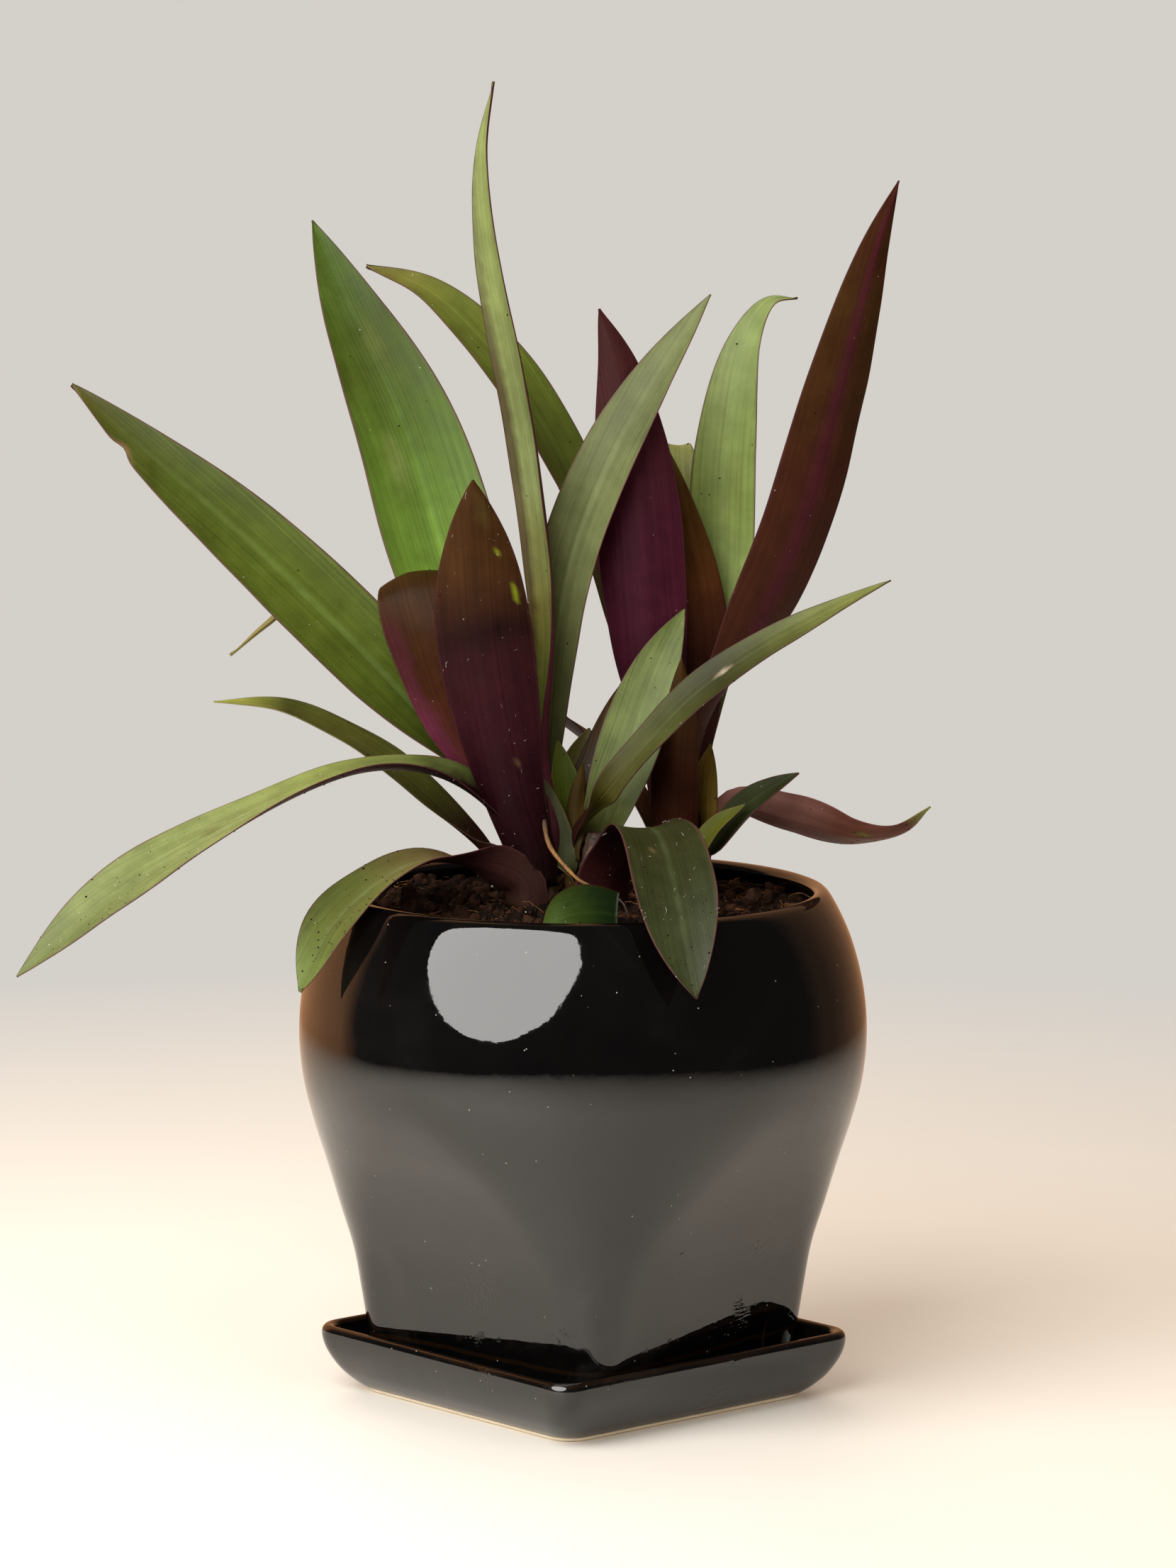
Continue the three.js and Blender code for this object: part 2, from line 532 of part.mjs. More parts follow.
// The solid cut back from its neighbours' enlarged copies, without any scrap that this cuts off.
function clearOf(solid, neighbours) {
  let rest = solid;
  const box = boxOf(solid);
  for (const { grown, reach } of neighbours) {
    if (box.intersectsBox(reach)) rest = rest.subtract(grown);
  }
  const bodies = rest.simplify(blade.tolerance).decompose();
  bodies.sort((a, b) => b.volume() - a.volume());
  return bodies[0];
}

function neighbour(grown) {
  return { grown, reach: boxOf(grown) };
}

// ---- the whole object ---------------------------------------------------------------------

const whole = new THREE.Group();
whole.add(namedMesh('saucer', saucerGeometry(), finish(glaze)));
whole.add(namedMesh('pot', potGeometry(), finish(glaze)));

const plant = new THREE.Group();
plant.rotation.z = plantTurn;
whole.add(plant);
const soilShape = soilGeometry();
plant.add(namedMesh('potting_soil', withStemHoles(soilShape), finish(dirt)));

// What the leaves keep clear of: the soil, the stems, and the leaves placed before them.
const placed = [neighbour(toSolid(soilShape.clone().translate(0, 0, clearance)))];
for (const [name, one] of Object.entries(stems)) {
  plant.add(namedMesh(`stem_${name}`, stemGeometry(one), finish(stemSkin)));
  placed.push(neighbour(toSolid(stemGeometry(one, clearance))));
}

for (const [name, leaf] of Object.entries(leafTable)) {
  const solid = clearOf(toSolid(leafGeometry(leaf)), placed);
  plant.add(namedMesh(name, toGeometry(solid), leafFinish(leaf.colour)));
  placed.push(neighbour(toSolid(leafGeometry(leaf, clearance))));
}

const lying = { ...cutLeaf, through: [cutLeaf.from, ...cutLeaf.through, cutLeaf.tip],
  face: [cutLeaf.face, cutLeaf.face] };
const lyingSolid = clearOf(toSolid(leafGeometry(lying)), placed);
plant.add(namedMesh('leaf_cut', toGeometry(lyingSolid), leafFinish(greens.deep)));
placed.push(neighbour(toSolid(leafGeometry(lying, clearance))));

const rootPath = new THREE.CatmullRomCurve3(root.points.map((point) => new THREE.Vector3(...point)));
const rootSection = new THREE.Shape();
rootSection.absarc(0, 0, root.radius, 0, 2 * Math.PI);
const rootGeometry = new THREE.ExtrudeGeometry(rootSection,
  { steps: root.steps, curveSegments: root.sidesPerHalf, extrudePath: rootPath });
const rootSolid = clearOf(toSolid(rootGeometry), placed);
plant.add(namedMesh('surface_root', toGeometry(rootSolid), finish(rootSkin)));

export default whole;
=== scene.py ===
import json
import math

import bpy
import numpy as np
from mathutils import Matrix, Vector, noise


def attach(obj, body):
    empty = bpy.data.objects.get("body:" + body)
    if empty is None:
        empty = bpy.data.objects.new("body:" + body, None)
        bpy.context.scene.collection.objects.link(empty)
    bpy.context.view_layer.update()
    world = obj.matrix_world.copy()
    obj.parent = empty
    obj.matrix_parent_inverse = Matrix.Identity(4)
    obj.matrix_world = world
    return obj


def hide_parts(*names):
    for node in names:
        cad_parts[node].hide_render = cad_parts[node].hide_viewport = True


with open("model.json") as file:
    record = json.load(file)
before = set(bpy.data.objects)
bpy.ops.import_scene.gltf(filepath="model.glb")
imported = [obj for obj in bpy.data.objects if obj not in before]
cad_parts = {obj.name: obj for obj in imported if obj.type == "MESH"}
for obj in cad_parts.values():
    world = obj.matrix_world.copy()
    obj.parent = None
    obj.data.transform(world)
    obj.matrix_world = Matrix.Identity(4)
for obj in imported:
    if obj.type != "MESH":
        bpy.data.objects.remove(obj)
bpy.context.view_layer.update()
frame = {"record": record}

plantTurn = math.radians(48.8)
potTurn = math.radians(7.5)
clearance = 0.0003

# The shades of the leaves and skins, as linear colours in ten-thousandths.
shades = {
    "pitch": (78, 26, 18), "plum": (116, 28, 32), "wine": (201, 53, 49), "maroon": (306, 82, 42),
    "oliveBrown": (335, 139, 35), "amber": (417, 157, 25), "russet": (295, 87, 35),
    "magenta": (471, 63, 171), "violet": (332, 60, 112), "rose": (1387, 387, 627),
    "dusk": (446, 162, 106), "darkOlive": (235, 203, 39), "olive": (586, 486, 106),
    "moss": (430, 510, 74), "darkMoss": (243, 291, 39), "spring": (677, 917, 169),
    "lime": (1011, 1131, 211), "meadow": (1082, 1242, 282), "pale": (1359, 1519, 451),
    "paleTip": (1601, 1721, 581), "sage": (1103, 1203, 415), "greySage": (610, 642, 218),
    "pine": (263, 351, 123), "darkPine": (159, 191, 63), "bottle": (115, 179, 35),
    "blueGreen": (522, 582, 282), "straw": (1559, 1279, 299), "tan": (1272, 812, 352),
    "cream": (2307, 1907, 1267), "bark": (234, 106, 42), "sheath": (311, 127, 63), "ink": (38, 18, 14),
    "rosyMargin": (800, 280, 300), "purpleMargin": (480, 130, 180), "dullMargin": (700, 480, 300),
    "dustyPink": (1500, 740, 620), "acid": (1450, 1750, 80), "orchid": (850, 120, 350),
    "gold": (1900, 850, 180),
}


def shade(name):
    return np.array(shades[name], float) / 10000


def circle(count):
    return np.linspace(0, 2 * math.pi, count, endpoint=False)


def turned(points, angle):
    x, y, z = np.moveaxis(np.asarray(points, float), -1, 0)
    c, s = math.cos(angle), math.sin(angle)
    return np.stack([x * c - y * s, x * s + y * c, z], -1)


# Points round the axis, at one height.
def ringOf(angle, radius, height):
    return np.stack([radius * np.cos(angle), radius * np.sin(angle),
                     np.full_like(angle, height)], -1)


def smoothstep(value, low, high):
    share = np.clip((value - low) / (high - low), 0, 1)
    return share * share * (3 - 2 * share)


def meshObject(name, points, faces, materials, faceMaterials=None):
    mesh = bpy.data.meshes.new(name)
    mesh.from_pydata(np.asarray(points).reshape(-1, 3).tolist(), [], faces)
    for material in materials:
        mesh.materials.append(material)
    if faceMaterials is not None:
        mesh.polygons.foreach_set("material_index", faceMaterials)
    mesh.polygons.foreach_set("use_smooth", [True] * len(mesh.polygons))
    mesh.update()
    made = bpy.data.objects.new(name, mesh)
    bpy.context.scene.collection.objects.link(made)
    return made


def dress(piece, slotName, *nodes):
    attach(piece, "root")
    if nodes:
        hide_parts(*nodes)


def graph(tree, prefix):
    def add(kind, inputs=None, **settings):
        node = tree.nodes.new(prefix + kind)
        for key, value in settings.items():
            setattr(node, key, value)
        for key, value in (inputs or {}).items():
            if isinstance(value, bpy.types.NodeSocket):
                tree.links.new(value, node.inputs[key])
            else:
                node.inputs[key].default_value = value
        return node
    return add


def newMaterial(name):
    material = bpy.data.materials.new(name)
    material.use_nodes = True
    add = graph(material.node_tree, "ShaderNode")
    place = add("TexCoord").outputs["Object"]
    return material, material.node_tree.nodes["Principled BSDF"], add, place


def link(material, output, socket):
    material.node_tree.links.new(output, socket)


def mixed(add, factor, first, second, blend="MIX"):
    node = add("Mix", {0: factor, 6: first, 7: second}, data_type="RGBA", blend_type=blend)
    return node.outputs[2]


def maths(add, operation, first, second=0.0, third=0.0):
    return add("Math", {0: first, 1: second, 2: third}, operation=operation).outputs[0]


def ranged(add, value, low, high, to=(0.0, 1.0)):
    node = add("MapRange", {"Value": value, "From Min": low, "From Max": high,
                            "To Min": to[0], "To Max": to[1]})
    return node.outputs["Result"]


def tone(red, green, blue):
    return (red, green, blue, 1.0)


def noisy(add, place, scale, detail, **more):
    node = add("TexNoise", {"Vector": place, "Scale": scale, "Detail": detail, **more})
    return node.outputs["Fac"]


def bumped(add, height, strength, distance, **onto):
    node = add("Bump", {"Height": height, "Strength": strength, "Distance": distance, **onto})
    return node.outputs[0]


def both(add, first, second):
    return maths(add, "MULTIPLY", first, second)


# Round specks, in those cells whose random value is above `least`.
def specks(add, place, scale, least, radius, strength):
    cells = add("TexVoronoi", {"Vector": place, "Scale": scale}).outputs
    chosen = maths(add, "GREATER_THAN", cells["Color"], least)
    near = maths(add, "LESS_THAN", cells["Distance"], radius)
    return both(add, both(add, chosen, near), strength)


def tintedBy(add, share):
    tint = add("Attribute", attribute_name="tint").outputs["Color"]
    grey = add("CombineColor", {0: share, 1: share, 2: share}).outputs[0]
    return mixed(add, 1.0, tint, grey, "MULTIPLY")


def finish(material, shader, colour, roughness, normal=None):
    link(material, colour, shader.inputs["Base Color"])
    if isinstance(roughness, float):
        shader.inputs["Roughness"].default_value = roughness
    else:
        link(material, roughness, shader.inputs["Roughness"])
    if normal:
        link(material, normal, shader.inputs["Normal"])
    return material


# The leaf skins. Colour comes from the attribute `tint`, and the veins from the UV map `blade`,
# whose u counts the veins across and whose v is the way along in centimetres.
leafSkin = {
    # roughness, gloss and how far the veins change the colour, above and below
    "top": (0.42, 0.15, 0.17), "under": (0.46, 0.07, 0.20),
    "streakLength": 0.05, "mottleScale": 120.0, "mottle": 0.15,
    "flecks": (230.0, 0.62, 0.045, 0.45), "fleckTone": tone(0.62, 0.62, 0.58),
    # finer dust, most of it low down
    "motes": (430.0, 0.80, 0.07), "moteTone": tone(0.55, 0.54, 0.52), "moteHeights": (0.29, 0.17),
}


def leafMaterial(name, roughness, gloss, vein):
    material, shader, add, place = newMaterial(name)
    blade = add("UVMap", uv_map="blade").outputs["UV"]
    stretch = add("Mapping", {"Vector": blade, "Scale": (1.0, leafSkin["streakLength"], 1.0)})
    streaks = noisy(add, stretch.outputs[0], 1.15, 3.0, Roughness=0.62)
    mottle = noisy(add, place, leafSkin["mottleScale"], 4.0, Roughness=0.6)
    light = ranged(add, streaks, 0.3, 0.7, (1 - vein, 1 + vein))
    patchy = ranged(add, mottle, 0.3, 0.7, (1 - leafSkin["mottle"], 1 + leafSkin["mottle"]))
    colour = tintedBy(add, both(add, light, patchy))
    colour = mixed(add, specks(add, place, *leafSkin["flecks"]), colour, leafSkin["fleckTone"])
    height = add("SeparateXYZ", {"Vector": place}).outputs["Z"]
    low = ranged(add, height, *leafSkin["moteHeights"], (0.10, 0.6))
    mote = specks(add, place, *leafSkin["motes"], low)
    colour = mixed(add, mote, colour, leafSkin["moteTone"])
    shader.inputs["Specular IOR Level"].default_value = gloss
    bump = bumped(add, streaks, 0.35, 0.0006)
    fine = bumped(add, noisy(add, place, 1500.0, 2.0), 0.05, 0.0002, Normal=bump)
    rough = ranged(add, mottle, 0.3, 0.7, (roughness - 0.05, roughness + 0.09))
    return finish(material, shader, colour, rough, fine)


leafTop = leafMaterial("leafUpperSkin", *leafSkin["top"])
leafUnder = leafMaterial("leafUnderside", *leafSkin["under"])

stemAxes = {"left": (-0.015, -0.005), "middle": (0.004, -0.004), "right": (0.031, 0.019)}
stemTops = {"left": 0.185, "middle": 0.181, "right": 0.187}
stem = {"foot": 0.0075, "widest": 0.0086, "shoulder": 0.0036, "tip": 0.0026, "tipHeight": 0.003,
        "taperFrom": 0.157, "holeDepth": 0.026, "soilLevel": 0.1562}

blade = {
    "along": 104, "edge": 0.0004, "rib": 0.0016, "ribTip": 0.0006, "tipWidth": 0.0004,
    "taper": (2.1, 0.95), "crowding": 1.15,
    "sheath": 0.008, "sheathSpread": 1.7, "sheathGap": 0.0006, "sheathLean": 0.0005,
    "opening": (0.05, 0.4), "turning": (0.45, 1.0),
    "veinGap": 0.0011,              # width of leaf for each vein
    "wave": 0.0005, "waveLength": 0.021, "groove": 0.00022, "grooveWidth": 0.05, "ringGap": 0.0021,
    # places across the blade, from the midrib to the margin
    "across": (0, 0.045, 0.11, 0.2, 0.31, 0.43, 0.55, 0.67, 0.78, 0.87, 0.935, 0.972, 1.0),
}


# Each leaf, in the crown that its name gives, with lengths in millimetres. `side` is where on the
# stem it grows, in degrees, and `start` the height of its base. `width` is its widest width,
# `widest` the place of it and `waist` its share above the base. `spread` is the channel's angle,
# `stripe` how pale the midrib is, `face` the way the upper face looks in the blade and near the
# tip, and `through` the points of the midrib. `top` and `under` are shades from the base to the
# tip, `edge` is the margin's, `tinge` multiplies the leaf's colour and `lift` brightens the leaf
# from the base to the tip. `tinge` and `lift` are partly the leaf's own colour and partly painted
# light, which brightens the leaves and stretches that lie in shade.
leafFields = ("side", "start", "width", "widest", "waist", "spread", "stripe", "face", "through",
              "top", "under", "edge", "tinge", "lift")
leafRows = {
    "leaf_left_tall": (12, 173, 22, 0.5, 0.6, 1.2, 0.45, ((-0.9, -0.42, 0.1), (-0.85, -0.5, 0.1)),
        ((-12, 5, 205), (-10.5, 5, 246), (-17, 9, 305), (-29, 15, 366), (-31, 18, 394),
        (-28, 20, 416)), "darkOlive moss olive sage pale pale paleTip",
        "plum violet wine maroon maroon", "purpleMargin", (1, 1.08, 1.15),
        (3.6, 2.5, 1.65, 0.92, 1.05, 1.03)),
    "leaf_left_slanting": (68, 169, 24, 0.54, 0.36, 0.8, 0.5, ((-0.6, -0.75, 0.3), (-0.3, -0.8, 0.5)),
        ((-11, 13, 207), (-8, 13, 241), (-3, 10, 268), (8, 6, 297), (22, 4, 323), (40, 4, 350)),
        "darkOlive greySage greySage sage sage pale", "plum violet wine maroon", "rosyMargin",
        (0.72, 0.76, 0.85), (1.8, 2.4, 3, 1.4, 1.1, 1.05)),
    "leaf_left_dark": (-96, 165, 31, 0.6, 0.54, 0.9, 0.2, ((0.05, 0.98, 0.15), (0, 0.98, 0.2)),
        ((-21, -15, 190), (-26, -18, 213), (-31, -25, 246), (-33, -31, 277), (-34, -35, 295)),
        "moss moss spring moss", "plum violet violet plum oliveBrown oliveBrown", "purpleMargin",
        (1.08, 1, 0.9), (0.36, 0.36, 0.62, 0.98, 1.12, 0.95)),
    "leaf_left_broad": (118, 171, 37, 0.5, 0.5, 0.7, 0.75, ((0.15, -0.95, 0.25), (0.2, -0.95, 0.1)),
        ((-25, 15, 206), (-43, 29, 262), (-58, 41, 308), (-75, 50, 344), (-87, 56, 371)),
        "meadow lime spring spring moss spring", "plum wine maroon oliveBrown", "rosyMargin",
        (0.92, 1.19, 0.74), (1.5, 1.55, 1.55, 1.02, 0.95, 0.76)),
    "leaf_left_curled": (-142, 169, 27, 0.6, 0.42, 0.7, 0.2, ((0.3, 0.93, 0.2), (0.1, 0.2, -0.97)),
        ((-31, -5, 198), (-43, -8, 224), (-51, -9, 248), (-54, -4, 259), (-55, 5, 262), (-56, 15, 257),
        (-57, 22, 248)), "moss spring spring moss", "magenta magenta russet oliveBrown darkOlive",
        "dullMargin", (1, 0.9, 0.5), (1.35, 1.25, 1.1, 0.95, 0.72, 0.8)),
    "leaf_left_long": (164, 166, 32, 0.45, 0.45, 0.7, 0.8, ((0.3, -0.75, 0.55), (0.2, -0.8, 0.5)),
        ((-30, 7, 190), (-59, 18, 224), (-107, 32, 270), (-140, 42, 298), (-164, 50, 319)),
        "darkOlive darkMoss moss moss moss olive", "plum wine maroon maroon", "rosyMargin",
        (1.13, 1.32, 0.95), (1.19, 1.19, 1.09, 1.12, 0.84, 0.76)),
    "leaf_left_arching": (178, 167, 27, 0.58, 0.42, 0.8, 0.8, ((0, 0.03, 0.98), (-0.3, -0.75, 0.65)),
        ((-30, -9, 191), (-48, -23, 203), (-70, -30, 204), (-110, -43, 188), (-147, -54, 167),
        (-174, -60, 144)), "spring meadow meadow pale pale pale", "pitch plum wine maroon maroon",
        "rosyMargin", (1.02, 1.09, 1.22), (0.6, 0.6, 1.38, 1.07, 0.96, 0.78)),
    "leaf_left_narrow": (178, 160, 15, 0.5, 0.6, 0.9, 0.2, ((-0.2, -0.3, 0.93), (0, -0.3, 0.95)),
        ((-31, 5, 174), (-61, 8, 201), (-77, 9, 211), (-95, 10, 219), (-117, 10, 221)),
        "maroon wine olive olive darkOlive straw", "wine maroon olive olive straw", "dullMargin",
        (0.9, 1.15, 0.9), (0.85, 0.95, 0.9, 1, 1.5, 1.6)),
    "leaf_left_rim": (-118, 157.4, 27, 0.68, 0.6, 0.8, 0.7, ((-0.2, -0.1, 0.98), (-0.7, -0.6, 0.4)),
        ((-31, -16, 172), (-49, -24, 175), (-62, -31, 170), (-78, -37, 156), (-88, -40, 136)),
        "oliveBrown oliveBrown olive moss moss spring", "sheath wine maroon olive", "rosyMargin",
        (1.32, 1.36, 2), (0.67, 1.5, 1.5, 1.5, 1.3, 1.44)),
    "leaf_middle_pale": (80, 170, 20, 0.5, 0.6, 0.6, 0.6, ((-0.15, -0.96, 0.2), (-0.1, -0.97, 0.2)),
        ((9, -2, 192), (16, 0, 212), (24, 2, 234), (32, 4, 251)), "olive greySage sage sage meadow",
        "wine maroon olive olive", "dullMargin", (0.89, 1.04, 0.96),
        (0.6, 1.5, 1.07, 1.1, 1.08, 0.76)),
    "leaf_middle_reaching": (158, 167, 14, 0.55, 0.42, 0.9, 0.2,
        ((-0.3, -0.7, 0.65), (-0.3, -0.5, 0.8)), ((-2.5, -4, 181), (2.5, -9, 189), (8.5, -14, 197),
        (20, -20, 211), (36, -26, 228), (57, -30, 243), (78, -34, 255), (95, -36, 264)),
        "olive olive greySage greySage sage sage", "pitch wine olive olive", "purpleMargin",
        (0.6, 0.62, 0.45), (2.6, 1.15, 1.25, 0.66, 1.1, 1.52)),
    "leaf_middle_rim": (-66, 157.6, 26, 0.66, 0.78, 0.65, 0.8,
        ((0.05, -0.25, 0.95), (0.05, -0.9, 0.4)), ((13, -20, 176), (18.5, -33, 186), (23.5, -52, 186),
        (27.5, -72, 174.5), (31, -86, 158), (34, -95, 143)), "darkPine darkPine darkPine pine pine",
        "plum plum pitch wine wine", "rosyMargin", (0.89, 0.83, 0.7),
        (1.5, 0.6, 1.5, 1.13, 0.94, 0.93)),
    "leaf_middle_edge": (62, 164, 15, 0.5, 0.6, 0.8, 0.1, ((-0.3, -0.9, 0.2), (-0.3, -0.9, 0.2)),
        ((3, 6, 190), (8, 10, 208), (12, 13, 226)), "darkOlive darkOlive olive", "bark bark sheath",
        "maroon", (0.85, 0.45, 0.2)),
    "leaf_middle_back": (130, 168, 18, 0.5, 0.6, 0.8, 0.1, ((0, -0.95, 0.3), (0, -0.95, 0.3)),
        ((-1, 7, 186), (0, 11, 200), (2, 14, 212)), "darkOlive moss olive", "bark sheath oliveBrown",
        "tan"),
    "leaf_middle_young": (118, 166, 12, 0.45, 0.6, 0.8, 0.2, ((0.3, -0.9, 0.2), (0.3, -0.9, 0.2)),
        ((-4, 3, 184), (-6, 4, 197), (-8, 6, 209)), "darkOlive darkMoss moss moss",
        "wine maroon olive", "tan", (1.25, 1.45, 0.95)),
    "leaf_middle_thin": (100, 160, 10, 0.5, 0.6, 0.8, 0.2, ((0.5, -0.8, 0.2), (0.5, -0.8, 0.2)),
        ((-7, 12, 178), (-10, 19, 195), (-11, 24, 209)), "olive olive greySage", "maroon olive olive",
        "tan"),
    "leaf_middle_low": (-160, 160, 10, 0.45, 0.7, 0.8, 0.1, ((0.4, -0.85, 0.2), (0.4, -0.85, 0.2)),
        ((-7, -6, 176), (-10, -6, 188), (-12, -5, 198)), "olive blueGreen blueGreen blueGreen",
        "maroon olive olive", "tan"),
    "leaf_middle_bud": (178, 172, 6, 0.4, 0.8, 1.2, 0, ((0.1, 0.95, 0.1), (0.1, 0.95, 0.1)),
        ((-2.5, -1.5, 188), (0, -1, 203)), "bark sheath sheath", "bark sheath sheath", "bark",
        (1.2, 1.8, 0.8)),
    "leaf_right_purple": (-135, 176, 28, 0.55, 0.5, 0.9, 0.2, ((0.1, 0.98, 0.1), (0.05, 0.98, 0.1)),
        ((23, 11, 212), (19, 8, 259), (16, 8, 294), (11, 10, 326), (5, 13, 345)),
        "darkMoss moss moss moss", "plum violet violet violet wine maroon", "purpleMargin",
        (1.1, 0.82, 1.15), (0.94, 0.94, 0.94, 0.82, 1.5, 0.92)),
    "leaf_right_brown": (-75, 173, 28, 0.5, 0.45, 0.9, 0.1, ((-0.2, 0.96, 0.1), (-0.1, 0.96, 0.1)),
        ((33, 17, 212), (33, 20, 246), (27, 24, 276), (19, 30, 312)), "darkMoss moss moss",
        "pitch plum wine russet oliveBrown olive", "purpleMargin", (2.41, 2.59, 2.03),
        (0.64, 0.64, 0.64, 1.18, 0.73, 0.73)),
    "leaf_right_tall": (24, 169, 27, 0.5, 0.46, 0.8, 0.2, ((-0.5, 0.82, 0.25), (-0.4, 0.88, 0.2)),
        ((37, 18, 208), (53, 9, 241), (68, 3, 276), (80, -4, 321), (91, -9, 365), (98, -11, 386)),
        "darkMoss moss moss moss", "pitch maroon maroon maroon oliveBrown maroon", "purpleMargin",
        (1.15, 1.15, 0.95), (0.8, 0.85, 0.95, 1, 0.9, 1)),
    "leaf_right_pale": (70, 175, 22, 0.55, 0.5, 0.7, 0.5, ((-0.25, -0.93, 0.25), (-0.3, -0.6, 0.7)),
        ((38, 30, 216), (44, 36, 253), (46, 41, 298), (52, 47, 332), (60, 52, 345), (69, 57, 346)),
        "meadow meadow pale meadow pale paleTip", "maroon maroon olive olive", "rosyMargin",
        (1.53, 1.79, 1.87), (1.18, 1.18, 1.18, 1.11, 0.88, 0.66)),
    "leaf_right_olive": (110, 170, 22, 0.6, 0.5, 0.8, 0.1, ((0, -0.95, 0.3), (0, -0.3, 0.95)),
        ((31, 39, 215), (32, 49, 259), (31, 57, 293), (31, 64, 298), (31, 71, 293)),
        "darkOlive olive greySage sage", "wine maroon olive tan", "dullMargin", (1.8, 1.8, 1.6)),
    "leaf_right_arching": (165, 171, 25, 0.58, 0.48, 0.8, 0.2, ((0.55, -0.35, 0.6), (0.15, -0.7, 0.7)),
        ((16, 32, 222), (7, 43, 260), (-9, 53, 298), (-29, 60, 328), (-50, 66, 348), (-70, 70, 356)),
        "darkMoss darkMoss moss moss moss olive", "magenta rose rose magenta wine maroon",
        "rosyMargin", (1.35, 1.5, 1.35), (1, 1, 1, 1.1, 1.3, 1.45)),
    "leaf_right_long": (145, 165, 18, 0.5, 0.6, 0.9, 0.1, ((0.2, 0.3, 0.9), (-0.2, -0.3, 0.9)),
        ((7, 37, 200), (-28, 54, 223), (-66, 63, 244), (-91, 66, 247), (-103, 68, 239),
        (-115, 70, 229)), "olive dusk olive sage sage", "maroon wine wine olive meadow",
        "purpleMargin", (1.9, 1.6, 1.5)),
    "leaf_right_sheath": (-104, 161, 16, 0.4, 0.85, 1.2, 0.1, ((0.05, 0.98, 0.1), (0, 0.98, 0.1)),
        ((29, 6, 184), (29, 3, 200), (30.5, -1, 218), (31, -3, 236)), "darkOlive darkMoss moss",
        "pitch plum bark", "bark", (2.38, 2.55, 1.14), (1.5, 1.5, 0.86, 1.13, 0.87, 0.6)),
    "leaf_right_stub": (-20, 167, 11, 0.5, 0.8, 1, 0.1, ((-0.4, -0.85, 0.1), (-0.4, -0.85, 0.1)),
        ((38.5, 13.5, 190), (40.5, 13, 207)), "darkOlive olive olive", "bark darkOlive olive", "bark",
        (2, 1.5, 1.1)),
    "leaf_right_low": (4, 163, 21, 0.6, 0.4, 0.8, 0.2, ((-0.1, 0.7, 0.7), (-0.3, 0.3, 0.9)),
        ((47, 20, 186), (66, 17, 183), (87, 12, 177.5), (101, 8, 179.5), (110, 5, 188)),
        "spring spring meadow meadow", "dusk dustyPink dustyPink dusk dusk maroon", "rosyMargin",
        (1.95, 1.9, 1.9), (0.8, 0.82, 0.95, 1, 1.5, 1.1)),
    "leaf_right_green": (-62, 160, 13, 0.55, 0.7, 0.8, 0.3, ((-0.5, -0.6, 0.6), (-0.4, -0.6, 0.7)),
        ((41, 7, 175), (51, 1, 188), (60, -3, 195), (68, -5, 200)), "darkPine darkPine pine pine",
        "plum wine wine maroon", "rosyMargin", (0.85, 0.78, 0.66), (2, 1.5, 1.1, 0.9, 0.85, 0.85)),
    "leaf_right_sprout": (-92, 159, 8, 0.5, 0.8, 0.8, 0.1, ((-0.5, -0.7, 0.5), (-0.5, -0.7, 0.5)),
        ((34, 2, 171), (42, -2, 183), (51, -5, 190)), "olive lime lime lime", "olive olive lime",
        "tan", (0.72, 0.72, 0.36)),
}
leaves = {name: dict(zip(leafFields, row), crown=name.split("_")[1])
          for name, row in leafRows.items()}


def unit(vectors):
    return vectors / np.maximum(np.linalg.norm(vectors, axis=-1, keepdims=True), 1e-12)


# A smooth path through the points, with many points in each stretch.
def smoothPath(points, steps=40):
    points = np.asarray(points, float)
    ends = np.vstack([2 * points[0] - points[1], points, 2 * points[-1] - points[-2]])
    share = np.linspace(0, 1, steps, endpoint=False)[:, None]
    path = []
    for i in range(len(points) - 1):
        a, b, c, d = ends[i:i + 4]
        s, t, u = (max(np.linalg.norm(far - near), 1e-9) ** 0.5
                   for near, far in ((a, b), (b, c), (c, d)))
        leave = ((b - a) / s - (c - a) / (s + t) + (c - b) / t) * t
        arrive = ((c - b) / t - (d - b) / (t + u) + (d - c) / u) * t
        path.append(b + leave * share + (3 * (c - b) - 2 * leave - arrive) * share ** 2
                    + (2 * (b - c) + leave + arrive) * share ** 3)
    return np.vstack(path + [points[-1:]])


def alongPath(path, shares):
    steps = np.linalg.norm(np.diff(path, axis=0), axis=1)
    length = np.concatenate([[0], np.cumsum(steps)])
    places = [np.interp(shares * length[-1], length, path[:, k]) for k in range(path.shape[1])]
    return np.stack(places, -1), length[-1]


def ramp(names, shares):
    stops = np.array([shade(name) for name in names.split()])
    at = np.linspace(0, 1, len(stops))
    return np.stack([np.interp(shares, at, stops[:, k]) for k in range(3)], -1)


def noiseAt(points, scale, seed=0.0):
    shift = np.array([seed * 7.31, seed * 3.77, seed * 5.13])
    flat = (np.asarray(points, float).reshape(-1, 3) * scale + shift).tolist()
    values = np.array([noise.noise(point) for point in flat])
    return values.reshape(np.shape(points)[:-1])


